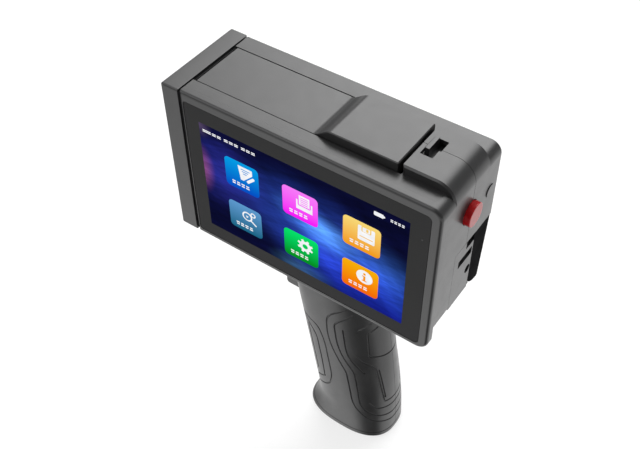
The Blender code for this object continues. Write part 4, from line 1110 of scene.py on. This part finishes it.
# Grooves of one half of the grip: (millimetres round from the rear seam, height, trim of the corner)
GROOVES = (
    ((53.5, 81.0, 0), (41.0, 81.0, 4.5), (38.0, 70.0, 8.0), (37.5, 43.0, 8.0), (40.5, 34.0, 5.0),
     (52.5, 26.0, 0)),
    ((52.0, 79.8, 0), (43.6, 72.0, 4.0), (42.9, 56.0, 8.0), (43.2, 38.6, 0)),
    ((44.0, 38.2, 0), (50.5, 33.4, 0)),
    ((49.6, 75.0, 0), (48.8, 39.7, 0)),
    ((21.5, 101.6, 0), (33.5, 93.5, 6.5), (35.6, 74.0, 10.0), (27.4, 53.0, 2.0), (26.3, 26.0, 7.0),
     (17.5, 16.2, 6.0), (4.0, 11.2, 5.0), (0.0, 11.2, 2.0), (-2.0, 11.2, 0)),
    ((18.5, 98.4, 0), (29.8, 89.0, 3.5), (30.2, 70.0, 9.0), (22.7, 54.0, 3.0), (21.9, 26.0, 5.0),
     (13.0, 19.6, 5.0), (4.0, 17.1, 4.0), (0.0, 17.1, 2.0), (-2.0, 17.1, 0)),
    ((25.3, 86.5, 0), (25.5, 66.5, 6.5), (17.4, 54.8, 0)),
    ((17.0, 30.9, 0), (13.2, 26.0, 3.0), (3.0, 24.3, 4.0), (0.0, 24.3, 1.5), (-2.0, 24.3, 0)),
    ((20.4, 69.5, 0), (18.6, 64.4, 3.5), (11.4, 60.0, 3.5), (9.4, 39.0, 6.0), (8.4, 30.2, 1.2),
     (3.0, 29.3, 2.0), (0.0, 29.3, 1.5), (-2.0, 29.3, 0)),
    ((9.7, 57.0, 0), (7.6, 33.4, 0)),
    ((17.9, 87.5, 0), (10.0, 92.2, 0)),
    ((6.9, 88.7, 0), (13.0, 85.2, 1.4), (14.0, 68.2, 1.4), (5.0, 66.4, 4.0), (0.0, 66.2, 2.0),
     (-2.0, 66.2, 0)),
)


def grip_halves():
    """Both halves of the grip; the far one is the mirror of the near one, with screw holes."""
    heights = [CAP_TOP + 0.35, CAP_TOP + 0.8, 6.0, 8.0, 10.0, 12.5, 15.0, 17.5, 19.5]
    heights += [21.0 + (GRIP_HIGH.z - 21.0) * step / 26 for step in range(27)]
    half = loft([(z, grip_section(z)) for z in heights])
    inner_heights = (GRIP_LOW.z - REACH, 10, 19, 40, 60, 80, 100, GRIP_HIGH.z + REACH)
    cut(half, loft([(z, grip_section(z, WALL, 48)) for z in inner_heights]))
    cut(half, box((-80, -HALF_SEAM, -10), (80, 60, 150)))
    for knots in GROOVES:
        cut(half, groove(knots))
    x, z = TRIGGER_PIVOT
    fuse(half, box((x - 3.0, -11.5, z - 3), (x + 3.5, -7.2, z + 3)))
    slot = box((x - 22, -6.7, TRIGGER_LOW.z - 0.6), (x + 11, 6.7, z + 6.5))
    cut(half, slot, rod(TRIGGER_PIVOT, PIN_BORE, "Y", -9.9, 9.9, 24))
    mesh = half.data.copy()
    mesh.transform(Matrix.Scale(-1, 4, (0, 1, 0)))
    mesh.flip_normals()
    far = new_object("far", mesh)
    for screw in GRIP_SCREWS:
        cut(far, screw_hole(screw, GRIP_WIDE, ((2.8, REACH),)))
    piece(half, "near_grip", GRIP, ["grip_front"], angle=28.0)
    piece(far, "far_grip", GRIP, ["grip_rear"], angle=28.0)


def foot():
    """The cap under the grip, rounded where it meets the table."""
    cap = loft([(z, grip_section(max(0.5, z))) for z in (0.0, 0.9, 1.8, CAP_TOP)])
    bevel_where(cap, 0.6, 3, lambda at, way: at.z < 0.1, 60)
    bevel_where(cap, 0.35, 1, lambda at, way: at.z > CAP_TOP - 0.1, 60)
    fuse(cap, prism(grip_section(8.0, WALL + 1.0, 48), "Z", 1.6, 6.6))
    piece(cap, "foot_cap", GRIP, ["base_cap"])


def trigger_blade():
    """The trigger: a curved blade with rounded edges."""
    x, z = TRIGGER_PIVOT
    half = TRIGGER_HIGH.y
    blade = prism(
        rounded([
            (x - 13.0, z + 5.0, 2.0),
            (x - 10.2, z - 10.0, 20.0),
            (x - 8.2, z - 22.0, 0),
            (x - 8.0, TRIGGER_LOW.z, 1.8),
            (x + 7.0, TRIGGER_LOW.z, 1.0),
            (x + 5.0, z + 5.0, 1.5),
        ], 10), "Y", -half, half)
    bevel_where(blade, 1.6, 4, lambda at, way: at.x < x - 6.5 and abs(abs(at.y) - half) < 0.01)
    cut(blade, rod(TRIGGER_PIVOT, PIN_BORE, "Y", -half - 1, half + 1, 24))
    piece(blade, "trigger_lever", SHELL, ["trigger"], "trigger_blade")


# Encoder wheel and screws

TYRE_RIBS = 36


def wheel():
    """The encoder's hub and its ribbed tyre."""
    low, high = corners("encoder_wheel")
    centre = middle("encoder_tyre", "xy")
    radius = (TYRE_HIGH.x - TYRE_LOW.x) / 2
    rim = radius - 1.3
    hub = lathe([(rim - 0.3, low.z), (rim, low.z + 0.3), (rim, high.z - 0.3), (rim - 0.3, high.z)],
                centre, "Z", 40)
    cut(hub, rod(centre, PIN_BORE, "Z", low.z - 1, high.z + 1, 24))
    piece(hub, "wheel_hub", INSIDE, ["encoder_wheel"], "encoder")
    sides = 4 * TYRE_RIBS
    outline = []
    for index in range(sides):
        reach = radius if index % 4 in (1, 2) else radius - 0.28
        outline.append(polar(centre, reach, 2 * math.pi * index / sides))
    tyre = prism(outline, "Z", TYRE_LOW.z, TYRE_HIGH.z)
    cut(tyre, rod(centre, radius - 1.25, "Z", TYRE_LOW.z - 1, TYRE_HIGH.z + 1, 40))
    piece(tyre, "ribbed_tyre", RUBBER, ["encoder_tyre"], "encoder")


def screws():
    """Pan-head screws with a cross recess."""
    for node in SHELL_SCREWS + GRIP_SCREWS:
        low, high = corners(node)
        x, z = middle(node, "xz")
        top = high.y
        profile = [(1.2, low.y), (1.2, top - 1.15), (2.5, top - 1.15), (2.5, top - 0.75),
                   *quarter((1.3, top - 0.75), (1.2, 0.75), 4)]
        made = lathe(profile, (x, z), "Y", 32)
        for wide, tall in ((1.2, 0.25), (0.25, 1.2)):
            cut(made, box((x - wide, top - 0.7, z - tall), (x + wide, top + 1, z + tall)))
        piece(made, node.replace("screw", "fixing"), SCREW, [node])


# Pieces that keep their CAD shape

def kept_looks():
    """Better looks for the inner pieces, whose CAD shape is already right."""
    looks = {
        SOLDER_MASK: ("main_board", "port_board"),
        RIBBON: ("lcd_ribbon",),
        STEEL: ("encoder_axle", "lid_hinge_pin", "latch_spring", "trigger_pin", "trigger_spring"),
        GOLD: ("battery_contacts", "cartridge_contacts", "nozzle_plate"),
    }
    chosen = {name: look for look, names in looks.items() for name in names}
    for name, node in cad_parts.items():
        node.data.materials.clear()
        node.data.materials.append(chosen.get(name, INSIDE))


# Camera, floor and light

CAMERA_PLACE = (152.456, -249.984, 455.427)
CAMERA_TURN = (43.489, 0.3335, 34.907)     # degrees about X, Y and Z


def camera():
    """The camera, at the height and angle of a product picture."""
    data = bpy.data.cameras.new("camera")
    data.sensor_width = 36.0
    data.lens = 52.0
    data.clip_start = 0.01
    data.clip_end = 20.0
    made = new_object("camera", data)
    made.location = Vector(CAMERA_PLACE) * MM
    made.rotation_euler = [math.radians(angle) for angle in CAMERA_TURN]
    bpy.context.scene.camera = made


# Where the lights stand, as directions from the object, and how bright they are
SOFTBOX_WAY = Vector((-0.15, 0.7, 0.7)).normalized()
SOFTBOX_LIGHT = 5.6
HORIZON_WAY = (-0.6, 0.8, 0.0)
HORIZON_LIGHT = (0.2, 0.65)
FRONT_CARD_WAY = (-0.42, -0.5, 0.76)
FRONT_CARD_LIGHT = 1.6
DARK_CARD_WAY = Vector((0.36, -0.48, -0.79)).normalized()
DARK_CARD_LIGHT = 0.04


def floor():
    """A pale round floor. Polished surfaces see the sky's lower part through it."""
    made = lathe([(1400.0, -2.0), (1400.0, -0.3)], (0, 0), "Z", 96)
    made.name = "floor"
    look, tree, shader = shader_of("pale_floor")
    feed(tree, shader, in_Base_Color=(0.34, 0.34, 0.34, 1), in_Roughness=0.9, in_Specular_IOR_Level=0.0,
         in_Emission_Color=(1, 1, 1, 1), in_Emission_Strength=0.68)
    mirrored = add(tree, "ShaderNodeLightPath").outputs["Is Glossy Ray"]
    clear = add(tree, "ShaderNodeBsdfTransparent").outputs[0]
    choose = add(tree, "ShaderNodeMixShader", in_0=mirrored, in_1=shader.outputs[0], in_2=clear)
    feed(tree, tree.nodes["Material Output"], in_Surface=choose.outputs[0])
    made.data.materials.append(look)


def combined(tree, operation, first, second):
    """Two values added or multiplied."""
    return add(tree, "ShaderNodeMath", operation=operation, in_0=first, in_1=second).outputs[0]


def alignment(tree, way, other):
    """How far a direction points the same way as another, from -1 to 1."""
    return add(tree, "ShaderNodeVectorMath", operation="DOT_PRODUCT", in_0=way, in_1=other).outputs["Value"]


def cone(tree, way, core, wide, narrow, outside, inside):
    """A value that changes from a wide cone about a direction to a narrow one, both in degrees."""
    return ramp(tree, alignment(tree, way, core), math.cos(math.radians(wide)),
                math.cos(math.radians(narrow)), outside, inside, "SMOOTHSTEP")


def sky():
    """A large softbox above and behind, a dim room, and below them an even level with a dark card."""
    world = bpy.data.worlds.new("studio")
    bpy.context.scene.world = world
    world.use_nodes = True
    tree = world.node_tree
    tree.nodes.clear()
    way = add(tree, "ShaderNodeTexCoord").outputs["Generated"]
    seen = add(tree, "ShaderNodeLightPath")
    split = add(tree, "ShaderNodeSeparateXYZ", in_0=way)
    room_light = ramp(tree, alignment(tree, way, HORIZON_WAY), -1.0, 1.0, *HORIZON_LIGHT)
    softbox = cone(tree, way, SOFTBOX_WAY, 35.5, 7, room_light, SOFTBOX_LIGHT)
    front = cone(tree, way, FRONT_CARD_WAY, 36, 14, 0.0, FRONT_CARD_LIGHT)
    above = combined(tree, "ADD", softbox, front)
    even = ramp(tree, split.outputs["X"], -0.5, 0.5, 1.5, 1.22)
    fall = ramp(tree, split.outputs["X"], -0.8, -0.42, 0.4, 1.0)
    card = cone(tree, way, DARK_CARD_WAY, 28, 15, 1.0, DARK_CARD_LIGHT)
    below = combined(tree, "MULTIPLY", combined(tree, "MULTIPLY", even, card), fall)
    low = ramp(tree, split.outputs["Z"], -0.12, -0.05, 1.0, 0.0)
    mirrored = combined(tree, "MULTIPLY", low, seen.outputs["Is Glossy Ray"])
    level = add(tree, "ShaderNodeMix", data_type="FLOAT", in_0=mirrored, in_2=above, in_3=below)
    room = add(tree, "ShaderNodeBackground", in_Color=(1, 1, 1, 1), in_Strength=level.outputs[0])
    pale = add(tree, "ShaderNodeBackground", in_Color=(1, 1, 1, 1), in_Strength=1.05)
    choose = add(tree, "ShaderNodeMixShader", in_0=seen.outputs["Is Camera Ray"],
                 in_1=room.outputs[0], in_2=pale.outputs[0])
    add(tree, "ShaderNodeOutputWorld", in_Surface=choose.outputs[0])


def main():
    """Make everything."""
    bpy.context.scene.view_settings.view_transform = "Standard"
    for make in (camera, floor, sky, kept_looks, printing_face, bezel, cover_glass, picture,
                 front_moulding, rear_moulding, lid, latch, button, plug, ports_panel, usb_socket,
                 jack_socket, battery, battery_catch, grip_halves, foot, trigger_blade, wheel, screws):
        make()


main()
